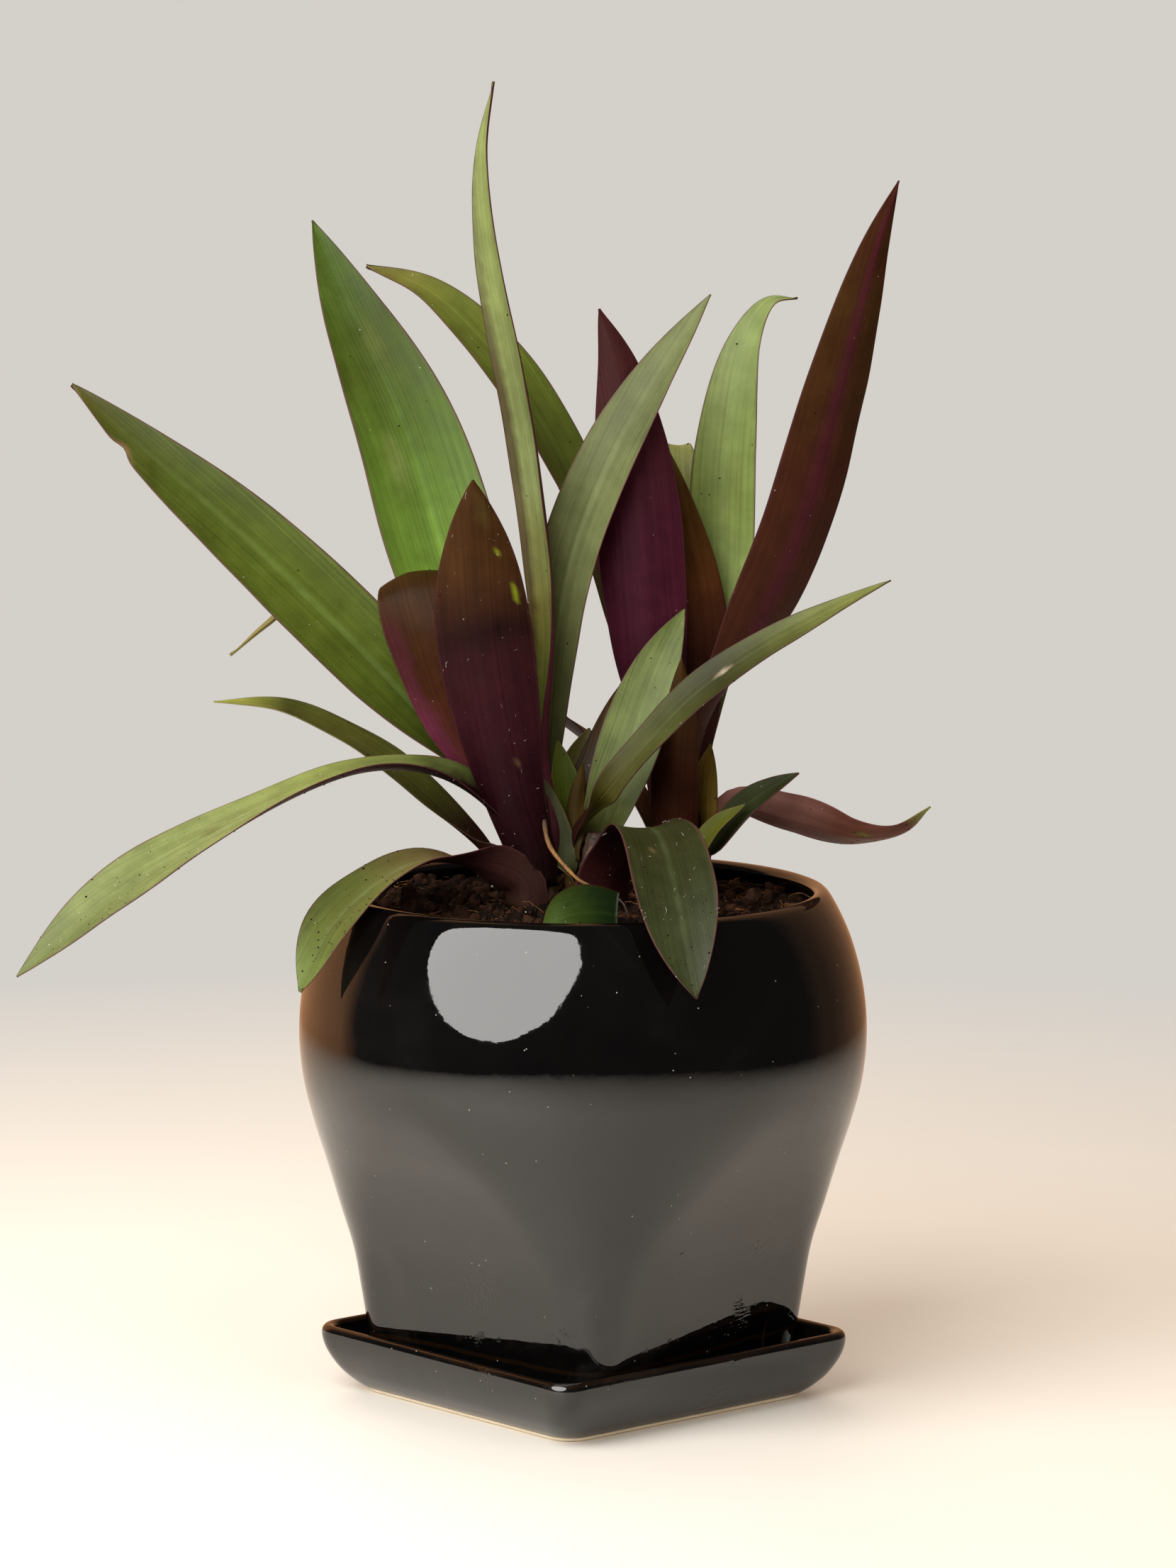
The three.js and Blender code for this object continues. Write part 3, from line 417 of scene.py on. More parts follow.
def leafSections(leaf):
    points, inward = [], None
    if "crown" in leaf:
        start = leaf["start"] / 1000
        top = stemTops[leaf["crown"]]
        low = stem["taperFrom"]
        cone = np.clip((start - low) / (top - stem["tipHeight"] - low), 0, 1)
        radius = stem["widest"] + (stem["shoulder"] - stem["widest"]) * cone
        angle = math.radians(leaf["side"])
        out = np.array([math.cos(angle), math.sin(angle), 0.0])
        base = np.array([*stemAxes[leaf["crown"]], start])
        base += out * (radius + clearance + blade["sheathGap"])
        points = [base, base + out * blade["sheathLean"] + (0, 0, blade["sheath"])]
        inward = -out
    path = smoothPath(points + [np.array(point) / 1000 for point in leaf["through"]])
    length = alongPath(path, np.array([0.0, 1.0]))[1]
    count = int(np.clip(length / blade["ringGap"], 26, blade["along"]))
    share = 1 - (1 - np.linspace(0, 1, count + 1)) ** blade["crowding"]
    place = alongPath(path, share)[0]
    along = unit(np.gradient(place, axis=0))
    body, tip = (unit(np.array(face, float)) for face in leaf["face"])
    turning = smoothstep(share, *blade["turning"])[:, None]
    face = body + (tip - body) * turning
    sheathed = np.zeros(count + 1)
    if inward is not None:
        sheathed = 1 - smoothstep(share, *blade["opening"])
        face = face + (inward - face) * sheathed[:, None]
    face = unit(face - along * np.sum(face * along, -1, keepdims=True))
    rise = np.sin(np.clip(share / leaf["widest"], 0, 1) * math.pi / 2) ** 2
    beyond = np.clip((share - leaf["widest"]) / (1 - leaf["widest"]), 0, 1)
    belly, point = blade["taper"]
    width = np.where(share < leaf["widest"], leaf["waist"] + (1 - leaf["waist"]) * rise,
                     (1 - beyond ** belly) ** point) * (leaf["width"] / 1000)
    width = np.maximum(width, blade["tipWidth"])
    spread = leaf["spread"] + (blade["sheathSpread"] - leaf["spread"]) * sheathed
    rib = blade["rib"] + (blade["ribTip"] - blade["rib"]) * share
    return share, place, along, face, width, spread, rib, length


# The tint of each vertex of closed rings, with the mean of a ring for the middle of each end.
def paint(made, tint, size):
    tint = np.asarray(tint).reshape(-1, 3)
    tint = np.vstack([tint, tint[:size].mean(0), tint[-size:].mean(0)])
    layer = made.data.attributes.new("tint", "FLOAT_COLOR", "POINT")
    layer.data.foreach_set("color", np.column_stack([tint, np.ones(len(tint))]).ravel())


# How the tint of a leaf changes over it: how far, and for noise at what scale.
tinting = {
    "wander": 0.08, "streak": 0.17, "cloud": 0.12, "stripeWidth": 0.07, "bandWidth": 0.22,
    "band": 0.75, "paler": 1.30, "palerBy": (0.024, 0.034, 0.021), "rimTop": 0.7, "rimUnder": 0.5,
    "ragged": 0.35, "least": 0.002, "most": 0.9,
}


def leafColours(leaf, share, across, place, seed, upper):
    flow = np.broadcast_to(share[:, None], across.shape)
    wander = noiseAt(place, 38.0, seed) * tinting["wander"]
    colours = ramp(leaf["top" if upper else "under"], np.clip(flow + wander, 0, 1))
    # long streaks between the veins, and broad clouds
    streak = noiseAt(np.stack([across * 9, flow * 2.2, np.full_like(flow, seed)], -1), 1.0)
    cloud = noiseAt(place, 120.0, seed + 3)
    colours = colours * (1 + tinting["streak"] * streak + tinting["cloud"] * cloud)[..., None]
    broken = 0.8 + 0.5 * noiseAt(place, 260.0, seed + 6)
    ribShare = np.exp(-(across / tinting["stripeWidth"]) ** 2) * leaf["stripe"]
    ribShare = ribShare * (1 - flow) ** 0.35 * broken
    if upper:
        paler = colours * tinting["paler"] + np.array(tinting["palerBy"])
        colours = colours + (paler - colours) * ribShare[..., None]
    elif "band" in leaf:
        band = np.exp(-(across / tinting["bandWidth"]) ** 2)
        band = band * smoothstep(flow, 0.05, 0.3) * tinting["band"]
        colours = colours + (shade(leaf["band"]) - colours) * band[..., None]
    # `lift` and `tinge` are partly the leaf's own colour and partly painted light on stretches in
    # shade
    lift = leaf.get("lift", (1.0,))
    at = (np.arange(len(lift)) + 0.5) / len(lift)
    colours = colours * np.interp(flow, at, lift)[..., None] * leaf.get("tinge", (1, 1, 1))
    rimShare = smoothstep(np.abs(across), 0.95, 1.0) * tinting["rimTop" if upper else "rimUnder"]
    colours = colours + (shade(leaf["edge"]) - colours) * rimShare[..., None]
    for at, side, long, wide, name, strength, onTop in leaf.get("spots", ()):
        if onTop == upper:
            ragged = 1 + tinting["ragged"] * noiseAt(place, 320.0, seed + 9)
            away = np.hypot((flow - at) / long, (across - side) / wide) * ragged
            spot = np.clip(1.6 * (1 - away), 0, 1) * strength
            colours = colours + (shade(name) - colours) * spot[..., None]
    return np.clip(colours, tinting["least"], tinting["most"])


def buildLeaf(name, leaf, seed):
    share, place, along, face, width, spread, rib, length = leafSections(leaf)
    half = np.array(blade["across"])
    across = np.concatenate([-half[:0:-1], half])
    sideways = np.cross(face, along)
    count, wide = len(share), len(across)
    # a gentle wave along the margins, and bites out of the width where the blade is nicked
    wave = noiseAt(np.stack([share * length / blade["waveLength"], np.full(count, seed * 1.7),
                             np.zeros(count)], -1), 1.0)
    trim = np.ones((count, wide + 1))
    for at, side, long, deep in leaf.get("nicks", ()):
        bite = deep * np.exp(-((share - at) / long) ** 2)
        on = np.sign(np.concatenate([across, [side]])) == side
        trim[:, on] *= (1 - bite)[:, None]

    def lay(a, up, cut):
        radius = (width / spread)[:, None]
        angle = a * cut * spread[:, None] / 2
        lift = blade["wave"] * wave[:, None] * np.abs(a) ** 3 * np.sign(a)
        reach = radius - up - lift
        return (place[:, None] + sideways[:, None] * (reach * np.sin(angle))[..., None]
                + face[:, None] * (radius - reach * np.cos(angle))[..., None])

    a = np.broadcast_to(across, (count, wide))
    groove = blade["groove"] * np.exp(-(a / blade["grooveWidth"]) ** 2) * (1 - share[:, None])
    upper = lay(a, blade["edge"] / 2 - groove, trim[:, :-1])
    thin = blade["edge"] + (rib[:, None] - blade["edge"]) * (1 - np.abs(a)) ** 1.6
    lower = lay(a, blade["edge"] / 2 - thin, trim[:, :-1])[:, ::-1]
    beyond = 1 + 0.5 * blade["edge"] / np.maximum(width / 2, 0.0004)
    right = lay(beyond[:, None], np.zeros((count, 1)), trim[:, wide - 1:wide])
    left = lay(-beyond[:, None], np.zeros((count, 1)), trim[:, :1])
    ring = np.concatenate([upper, right, lower, left], 1)
    size = ring.shape[1]
    points = np.vstack([ring.reshape(-1, 3), ring[0].mean(0), ring[-1].mean(0)])
    rows, steps = np.meshgrid(np.arange(count - 1), np.arange(size), indexing="ij")
    following = (steps + 1) % size
    quads = np.stack([rows * size + steps, (rows + 1) * size + steps,
                      (rows + 1) * size + following, rows * size + following], -1)
    faces = quads.reshape(-1, 4).tolist()
    foot, end, last = count * size, count * size + 1, (count - 1) * size
    faces += [(foot, k, (k + 1) % size) for k in range(size)]
    faces += [(end, last + (k + 1) % size, last + k) for k in range(size)]
    onTop = np.arange(size) < wide
    sides = np.tile(np.where(onTop, 0, 1), count + 1)
    piece = meshObject(name, turned(points, plantTurn), faces, [leafTop, leafUnder],
                       sides.astype(np.int32))
    ringAcross = np.concatenate([across, [1.0], across[::-1], [-1.0]])
    acrossAll = np.broadcast_to(ringAcross, (count, size)).copy()
    topTint = leafColours(leaf, share, acrossAll, ring, seed, True)
    underTint = leafColours(leaf, share, acrossAll, ring, seed, False)
    paint(piece, np.where(onTop[None, :, None], topTint, underTint), size)
    veins = acrossAll * width[:, None] / 2 / blade["veinGap"]
    centimetres = np.broadcast_to((share * length * 100)[:, None], (count, size))
    flat = np.stack([veins + seed * 40, centimetres], -1).reshape(-1, 2)
    flat = np.vstack([flat, [seed * 40, 0], [seed * 40, length * 100]])
    corners = np.empty(len(piece.data.loops), np.int32)
    piece.data.loops.foreach_get("vertex_index", corners)
    piece.data.uv_layers.new(name="blade").data.foreach_set("uv", flat[corners].ravel())
    return piece


# What single leaves have besides: a `band` of a shade under the midrib, and marks. `nicks` are
# place along, side, length and depth, and `spots` are place along, place across, half length,
# half width, shade, strength and whether they are on the upper face.
extras = {
    "leaf_right_tall": {"band": "magenta"},
    "leaf_left_long": {
        "nicks": [(0.875, 1, 0.016, 0.30)],
        "spots": [(0.875, 0.9, 0.03, 0.3, "tan", 0.8, True)]},
    "leaf_left_dark": {"spots": [
        (0.93, 0.4, 0.06, 0.5, "olive", 0.35, False), (0.717, 0.78, 0.028, 0.10, "acid", 1.0, False),
        (0.820, 0.55, 0.009, 0.04, "acid", 0.8, False), (0.64, 0.33, 0.035, 0.08, "ink", 0.7, False),
        (0.50, 0.50, 0.040, 0.07, "ink", 0.6, False), (0.30, 0.30, 0.012, 0.12, "tan", 0.4, False)]},
    "leaf_left_broad": {"spots": [
        (0.30, 0.3, 0.07, 0.3, "straw", 0.45, True), (0.42, -0.4, 0.05, 0.25, "lime", 0.5, True),
        (0.62, 0.35, 0.06, 0.25, "pale", 0.4, True), (0.80, -0.2, 0.05, 0.3, "lime", 0.25, True)]},
    "leaf_left_tall": {"spots": [(0.5, 0.9, 0.45, 0.35, "maroon", 0.75, True)]},
    "leaf_left_curled": {"spots": [(0.36, -0.85, 0.22, 0.60, "orchid", 0.60, False),
                                   (0.60, -0.75, 0.12, 0.40, "magenta", 0.5, False)]},
    "leaf_left_arching": {"spots": [(0.15, 0.20, 0.17, 0.95, "plum", 1.0, True),
                                    (0.62, -0.2, 0.04, 0.15, "olive", 0.5, True)]},
    "leaf_middle_reaching": {"spots": [(0.600, 0.1, 0.028, 0.24, "ink", 0.6, True),
                                       (0.600, 0.1, 0.022, 0.17, "cream", 1.0, True)]},
    "leaf_middle_rim": {"spots": [(0.70, 0.15, 0.012, 0.06, "ink", 0.7, True),
                                  (0.55, -0.3, 0.010, 0.10, "tan", 0.5, True)]},
    "leaf_right_arching": {"spots": [(0.42, -0.25, 0.08, 1.1, "orchid", 0.95, True)]},
    "leaf_right_pale": {"spots": [(0.58, 0.0, 0.012, 0.06, "cream", 0.7, True),
                                  (0.40, -0.5, 0.010, 0.04, "ink", 0.7, True)]},
    "leaf_right_low": {"spots": [
        (0.74, -0.30, 0.046, 0.24, "ink", 0.6, False), (0.74, -0.30, 0.036, 0.17, "straw", 1.0, False),
        (1.0, 0.0, 0.09, 3.0, "pale", 1.0, False)]},
}
pieces = {}
for number, (name, leaf) in enumerate(leaves.items()):
    leaf.update(extras.get(name, {}))
    pieces[name] = buildLeaf(name.replace("leaf_", "blade_"), leaf, 1.0 + number)
print("leaves made:", len(pieces))

# The cut leaf on the soil. Its `tinge` and `lift` are partly its own colour and partly painted light.
cutLeaf = {
    "width": 18, "widest": 0.4, "waist": 0.85, "spread": 0.7, "stripe": 0.3,
    "face": ((0, -0.8, 0.6), (0, -0.8, 0.6)),
    "through": ((10.5, -50, 161.4), (4, -52, 162.9), (-4, -54.5, 162.4), (-12.5, -57, 159)),
    "top": "bottle bottle darkMoss moss moss", "under": "ink bark bottle",
    "edge": "bark", "tinge": (0.58, 0.90, 0.36), "lift": (0.7, 0.9, 1.0, 0.95, 1.0, 1.1),
}
pieces["leaf_cut"] = buildLeaf("blade_cut", cutLeaf, 77.0)
slots = {row["node"]: row["material_slot"] for row in frame["record"]["subparts"]}
for node, piece in pieces.items():
    dress(piece, slots[node], node)


# The stems are stacks of old leaf sheaths, each of them overlapping the next one up.
stemLook = {
    "turns": 40, "rings": 110, "sheathHeight": 0.0042, "step": 0.0007,
    "ridges": 17, "ridge": 0.00012, "slant": 0.45, "wander": 0.5, "papery": 0.8, "shadow": 0.75,
    "shownFrom": (0.150, 0.158),
}


def skinMaterial(name, roughness, scale):
    material, shader, add, place = newMaterial(name)
    fibres = add("Mapping", {"Vector": place, "Scale": (1.0, 1.0, 0.22)}).outputs[0]
    streaks = noisy(add, fibres, scale, 5.0, Roughness=0.65)
    colour = tintedBy(add, ranged(add, streaks, 0.3, 0.7, (0.55, 1.45)))
    rough = ranged(add, streaks, 0.3, 0.7, (roughness + 0.1, roughness - 0.08))
    return finish(material, shader, colour, rough, bumped(add, streaks, 0.7, 0.0008))


stemSkin = skinMaterial("stemSheaths", 0.6, 700.0)
rootSkin = skinMaterial("rootBark", 0.6, 900.0)


def ringFaces(count, size, closedLoop=False):
    rows = count if closedLoop else count - 1
    faces = []
    for row in range(rows):
        low, high = row * size, (row + 1) % count * size
        for i in range(size):
            j = (i + 1) % size
            faces.append((low + i, low + j, high + j, high + i))
    return faces


# A closed skin through rings of equal length, the first ring at the foot.
def closedRings(name, rings, materials, tint=None):
    rings = np.asarray(rings)
    count, size = rings.shape[:2]
    points = np.vstack([rings.reshape(-1, 3), rings[0].mean(0), rings[-1].mean(0)])
    faces = ringFaces(count, size)
    foot, top, last = count * size, count * size + 1, (count - 1) * size
    faces += [(foot, (i + 1) % size, i) for i in range(size)]
    faces += [(top, last + i, last + (i + 1) % size) for i in range(size)]
    made = meshObject(name, points, faces, materials)
    if tint is not None:
        paint(made, tint, size)
    return made


def buildStem(side, seed):
    top = stemTops[side]
    foot = stem["soilLevel"] - stem["holeDepth"]
    heights = np.concatenate([[foot, foot + 0.01, 0.148],
                              np.linspace(0.152, top, stemLook["rings"])])
    at = [foot, stem["soilLevel"], stem["taperFrom"], top - stem["tipHeight"], top]
    radii = [stem["foot"], stem["widest"], stem["widest"], stem["shoulder"], stem["tip"]]
    radius = np.interp(heights, at, radii)
    phase = (heights - foot) / stemLook["sheathHeight"]
    angle = circle(stemLook["turns"])
    grid = np.stack(np.broadcast_arrays(np.cos(angle)[None] * 0.01, np.sin(angle)[None] * 0.01,
                                        heights[:, None]), -1)
    slanted = (phase[:, None] + stemLook["slant"] * np.sin(angle + seed)
               + stemLook["wander"] * noiseAt(grid, 160.0, seed))
    lip = (slanted % 1.0) ** 3
    ridge = np.sin(angle * stemLook["ridges"] + 2 * noiseAt(grid, 90.0, seed))
    fade = smoothstep(heights, *stemLook["shownFrom"])[:, None]
    reach = radius[:, None] + fade * (stemLook["step"] * (lip - 0.6) + stemLook["ridge"] * ridge)
    x, y = stemAxes[side]
    rings = np.stack(np.broadcast_arrays(x + reach * np.cos(angle), y + reach * np.sin(angle),
                                         heights[:, None]), -1)
    papery = smoothstep(noiseAt(grid, 190.0, seed + 5), 0.10, 0.40)[..., None] * stemLook["papery"]
    tint = shade("sheath") + (shade("tan") - shade("sheath")) * papery
    tint = tint * (1 - stemLook["shadow"] * smoothstep(lip, 0.55, 1.0))[..., None]
    return closedRings("stem_stack_" + side, turned(rings, plantTurn), [stemSkin], tint)


for number, side in enumerate(stemAxes):
    dress(buildStem(side, 2.0 + number), "stem", "stem_" + side)

rootPath = {
    "points": [(-0.0122, -0.0125, 0.186), (-0.0113, -0.017, 0.181), (-0.0096, -0.020, 0.1775),
               (-0.0055, -0.024, 0.173), (-0.001, -0.028, 0.1692), (0.0038, -0.029, 0.167),
               (0.009, -0.030, 0.165), (0.0125, -0.0315, 0.1625), (0.0145, -0.0325, 0.158)],
    "radius": (0.0008, 0.00035), "sides": 14, "rings": 90, "knots": 0.25, "seed": 4.0,
    "shades": "bark gold gold amber bark",
}


def buildRoot():
    share = np.linspace(0, 1, rootPath["rings"])
    place, length = alongPath(smoothPath(rootPath["points"]), share)
    along = unit(np.gradient(place, axis=0))
    side = unit(np.cross(along, np.array([0.13, 0.21, 0.97])))
    other = np.cross(along, side)
    angle = circle(rootPath["sides"])
    radius = np.interp(share, [0, 1], rootPath["radius"])[:, None]
    seeded = np.stack([share * length * 260, share * 0 + rootPath["seed"], share * 0], -1)
    radius = radius * (1 + rootPath["knots"] * noiseAt(seeded, 1.0)[:, None])
    offset = (side[:, None] * (radius * np.cos(angle))[..., None]
              + other[:, None] * (radius * np.sin(angle))[..., None])
    rings = place[:, None] + offset
    tint = np.broadcast_to(ramp(rootPath["shades"], share)[:, None], rings.shape)
    return closedRings("root_strand", turned(rings, plantTurn), [rootSkin], tint)


dress(buildRoot(), "root", "surface_root")
print("stems and root made")


# The pot's and the saucer's plans are squares with rounded corners. `roundness` is the corner's
# radius as a share of the half side, and `reach` is how far the corner stands from the axis.
plan = {"perQuarter": 44, "crowding": 1.8}


def planAngles():
    step = np.linspace(-1, 1, plan["perQuarter"], endpoint=False) + 1 / plan["perQuarter"]
    quarter = (1 + np.sign(step) * np.abs(step) ** plan["crowding"]) * math.pi / 4
    return np.concatenate([quarter + k * math.pi / 2 for k in range(4)])


def squareRing(halfSide, corner, height):
    angle = planAngles()
    c, s = np.abs(np.cos(angle)), np.abs(np.sin(angle))
    c, s = np.maximum(c, s), np.minimum(c, s)
    reach = halfSide - corner
    b = reach * (c + s)
    onArc = b + np.sqrt(np.maximum(b * b - 2 * reach ** 2 + corner ** 2, 0))
    flat = s * halfSide <= c * reach
    radius = np.where(flat, halfSide / c, onArc)
    return ringOf(angle, radius, height)


def reachRing(height, reach, roundness):
    halfSide = reach / (math.sqrt(2) - roundness * (math.sqrt(2) - 1))
    return squareRing(halfSide, roundness * halfSide, height)


pot = {
    # outside, from the foot up: height, reach of the corner, roundness
    "outside": [(0.0053, 0.056, 0.2), (0.008, 0.0625, 0.2), (0.013, 0.0662, 0.2),
                (0.021, 0.0684, 0.2), (0.034, 0.0706, 0.24), (0.048, 0.0731, 0.32),
                (0.062, 0.0773, 0.46), (0.076, 0.0814, 0.64), (0.089, 0.0854, 0.82),
                (0.101, 0.0884, 0.95), (0.112, 0.0898, 1), (0.122, 0.0899, 1),
                (0.132, 0.0888, 1), (0.141, 0.0868, 1), (0.149, 0.0842, 1), (0.156, 0.081, 1),
                (0.1604, 0.0785, 1)],
    "lip": [(0.1622, 0.077, 1), (0.1629, 0.0753, 1), (0.1623, 0.0735, 1), (0.1606, 0.0724, 1)],
    "inside": [0.156, 0.148, 0.137, 0.125, 0.112, 0.096, 0.080, 0.064, 0.048, 0.032, 0.016],
    "wall": 0.0052, "footInset": 0.003, "floor": 0.0103, "drain": 0.006,
    # rings between the wall and the drain hole, as shares of the reach, and close to its edge
    "floorShare": 0.55, "footShare": 0.6, "midRound": 0.5, "drainEdge": 0.009,
    "rings": 220,
}
saucer = {
    "corner": 0.0082, "rings": 96,
    "outside": [(0.0506, 0), (0.0514, 0.0008), (0.0546, 0.0036), (0.0577, 0.0073),
                (0.0608, 0.0136), (0.0617, 0.0182), (0.0615, 0.020), (0.0607, 0.0211),
                (0.0597, 0.0212)],
    "inside": [(0.0587, 0.0205), (0.0583, 0.0185), (0.0572, 0.014), (0.0546, 0.009),
               (0.0522, 0.0064), (0.0495, 0.005)],
}
roundScale = 0.03       # brings the roundness to the size of the lengths along a profile


def potAt(height):
    stations = np.array(pot["outside"])
    return (np.interp(height, stations[:, 0], stations[:, 1]),
            np.interp(height, stations[:, 0], stations[:, 2]))


def insideStation(height, inset):
    reach, roundness = potAt(height)
    return (height, reach - inset, roundness)


def fineProfile(stations, count):
    stations = np.array(stations, float) * (1, 1, roundScale)
    fine = alongPath(smoothPath(stations), np.linspace(0, 1, count))[0]
    return fine / (1, 1, roundScale)


glaze = {
    "black": (tone(0.0010, 0.0010, 0.0011), tone(0.0022, 0.0019, 0.0018)), "ior": 1.62,
    # the heights between which the glaze is tinted brown at the saucer's lip
    "lipBrownFrom": 0.0222, "lipBrownTo": 0.0236, "lipBrownTone": tone(0.012, 0.005, 0.002),
    # bare clay at the saucer's foot
    "clay": tone(0.82, 0.72, 0.55), "clayHeights": (0.0019, 0.0013),
    "specks": (230.0, 0.6, 0.05, 0.55), "speckTone": tone(0.45, 0.42, 0.36),
    "film": 0.022, "filmTone": tone(0.40, 0.36, 0.30),
    # scuffs low on the walls, where the gloss is broken
    "scuffed": (0.555, 0.63, (0.0, 0.6)), "scuffHeights": (0.085, 0.055),
}


def glazeMaterial():
    material, shader, add, place = newMaterial("blackGlaze")
    height = add("SeparateXYZ", {"Vector": place}).outputs["Z"]
    clouds = noisy(add, place, 30.0, 5.0, Roughness=0.6)
    colour = mixed(add, ranged(add, clouds, 0.35, 0.7), *glaze["black"])
    # a brown band at the saucer's lip: the glaze is tinted brown between two heights
    wavy = maths(add, "MULTIPLY_ADD", clouds, 0.004, height)
    thin = both(add, maths(add, "GREATER_THAN", wavy, glaze["lipBrownFrom"]),
                maths(add, "LESS_THAN", wavy, glaze["lipBrownTo"]))
    colour = mixed(add, both(add, thin, 0.5), colour, glaze["lipBrownTone"])
    bare = ranged(add, maths(add, "MULTIPLY_ADD", clouds, 0.0006, height), *glaze["clayHeights"])
    colour = mixed(add, bare, colour, glaze["clay"])
    speck = specks(add, place, *glaze["specks"])
    colour = mixed(add, speck, colour, glaze["speckTone"])
    smears = noisy(add, place, 14.0, 6.0, Roughness=0.7, Distortion=1.2)
    low = ranged(add, height, 0.085, 0.03, (0.25, 1.0))
    film = both(add, ranged(add, smears, 0.5, 0.72, (0.0, glaze["film"])), low)
    colour = mixed(add, film, colour, glaze["filmTone"])
    smooth = ranged(add, smears, 0.4, 0.75, (0.02, 0.08))
    rough = maths(add, "MAXIMUM", both(add, bare, 0.8), smooth)
    rough = maths(add, "MAXIMUM", rough, speck)
    shader.inputs["IOR"].default_value = glaze["ior"]
    ripple = bumped(add, noisy(add, place, 26.0, 1.5), 0.35, 0.0007)
    waves = bumped(add, noisy(add, place, 95.0, 1.0), 0.30, 0.00022, Normal=ripple)
    pits = bumped(add, noisy(add, place, 420.0, 2.0), 0.06, 0.0002, Normal=waves)
    rubbed = noisy(add, place, 34.0, 5.0, Roughness=0.7, Distortion=0.8)
    scuffed = both(add, ranged(add, rubbed, *glaze["scuffed"]),
                   ranged(add, height, *glaze["scuffHeights"]))
    rubs = add("Mapping", {"Vector": place, "Rotation": (0.5, 0.3, 0.6), "Scale": (1.0, 0.25, 1.0)})
    lines = noisy(add, rubs.outputs[0], 1100.0, 2.0)
    broken = bumped(add, lines, scuffed, 0.0004, Normal=pits)
    return finish(material, shader, colour, rough, broken)


blackGlaze = glazeMaterial()


def buildPot():
    wall = [insideStation(height, pot["wall"]) for height in pot["inside"]]
    floorReach, floorRound = potAt(pot["floor"])
    floorReach -= pot["wall"] + pot["footInset"]
    stations = pot["outside"] + pot["lip"] + wall + [(pot["floor"], floorReach, floorRound)]
    rings = [reachRing(*station) for station in fineProfile(stations, pot["rings"])]
    baseZ, baseReach = pot["outside"][0][:2]
    rings += [reachRing(pot["floor"], floorReach * pot["floorShare"], pot["midRound"]),
              reachRing(pot["floor"], pot["drainEdge"], 1),
              reachRing(pot["floor"], pot["drain"], 1), reachRing(baseZ, pot["drain"], 1),
              reachRing(baseZ, pot["drainEdge"], 1),
              reachRing(baseZ, baseReach * pot["footShare"], pot["midRound"])]
    rings = turned(np.array(rings), potTurn)
    faces = ringFaces(len(rings), rings.shape[1], True)
    return meshObject("pot_body", rings, faces, [blackGlaze])


def buildSaucer():
    sides = smoothPath(saucer["outside"] + saucer["inside"])
    sides = alongPath(sides, np.linspace(0, 1, saucer["rings"]))[0]
    narrow = saucer["outside"][0][0]
    # one ring halfway to the axis closes each end
    stations = [(*sides[0], 0.5), *((*side, 1) for side in sides), (*sides[-1], 0.5)]
    rings = [squareRing(half * share, saucer["corner"] * min(1, half / narrow) * share, height)
             for half, height, share in stations]
    return closedRings("saucer_tray", np.array(rings), [blackGlaze])


dress(buildPot(), "glazed_pot", "pot")
dress(buildSaucer(), "glazed_saucer", "saucer")
print("pot and saucer made")


soil = {
    "level": stem["soilLevel"], "fade": 8, "sideTop": 0.15,
    "rings": 92, "around": 260, "strewnTo": 0.965,
    # small waves in the surface: height, length along x and y, phase (in millimetres)
    "lumps": [(0.45, 4.1, 3.7, 1.3), (0.45, 4.1, -3.7, 1.3), (0.7, 2.3, -2.9, 0.6)],
    # mounds and dips: x, y, radius and rise (in millimetres)
    "mounds": [(-14, -6, 22, 2.6), (4, -4, 20, 2.4), (31, 19, 20, 2.6), (-48, 10, 16, 2.2),
               (-40, 34, 15, -1.8), (55, 20, 17, -2.4), (2, -58, 22, 0.8), (46, -36, 18, 1.4),
               (-52, -30, 14, -2), (6, 50, 20, 1.6), (-44, 22, 18, 4.2)],
    "coarse": 0.0030, "coarseScale": 95.0, "fine": 0.0016, "fineScale": 310.0, "settle": 0.0012,
    "gloss": 0.1,
}


# How far the soil stands above its level at points in the plant's frame.
def soilRelief(x, y):
    x, y = x * 1000, y * 1000
    relief = np.zeros_like(x)
    for height, lengthX, lengthY, phase in soil["lumps"]:
        relief += height * np.sin(x / lengthX + y / lengthY + phase)
    for moundX, moundY, radius, rise in soil["mounds"]:
        relief += rise * np.exp(-((x - moundX) ** 2 + (y - moundY) ** 2) / radius ** 2)
    return relief / 1000


def soilMaterial():
    material, shader, add, place = newMaterial("dampPeat")
    grain = noisy(add, place, 260.0, 8.0, Roughness=0.75)
    broad = noisy(add, place, 60.0, 3.0)
    fibres = add("TexWave", {"Vector": place, "Scale": 90.0, "Distortion": 14.0, "Detail": 3.0,
                             "Detail Scale": 2.0}).outputs["Fac"]
    dark = mixed(add, ranged(add, grain, 0.35, 0.7), tone(0.001, 0.0005, 0.0003),
                 tone(0.007, 0.003, 0.0015))
    brown = mixed(add, ranged(add, broad, 0.5, 0.72, (0.0, 0.5)), dark, tone(0.010, 0.0045, 0.002))
    pale = mixed(add, ranged(add, fibres, 0.90, 1.0, (0.0, 0.25)), brown, tone(0.03, 0.015, 0.007))
    shader.inputs["Specular IOR Level"].default_value = soil["gloss"]
    return finish(material, shader, pale, ranged(add, broad, 0.3, 0.7, (0.75, 0.95)),
                  bumped(add, grain, 0.9, 0.0016))


dampPeat = soilMaterial()


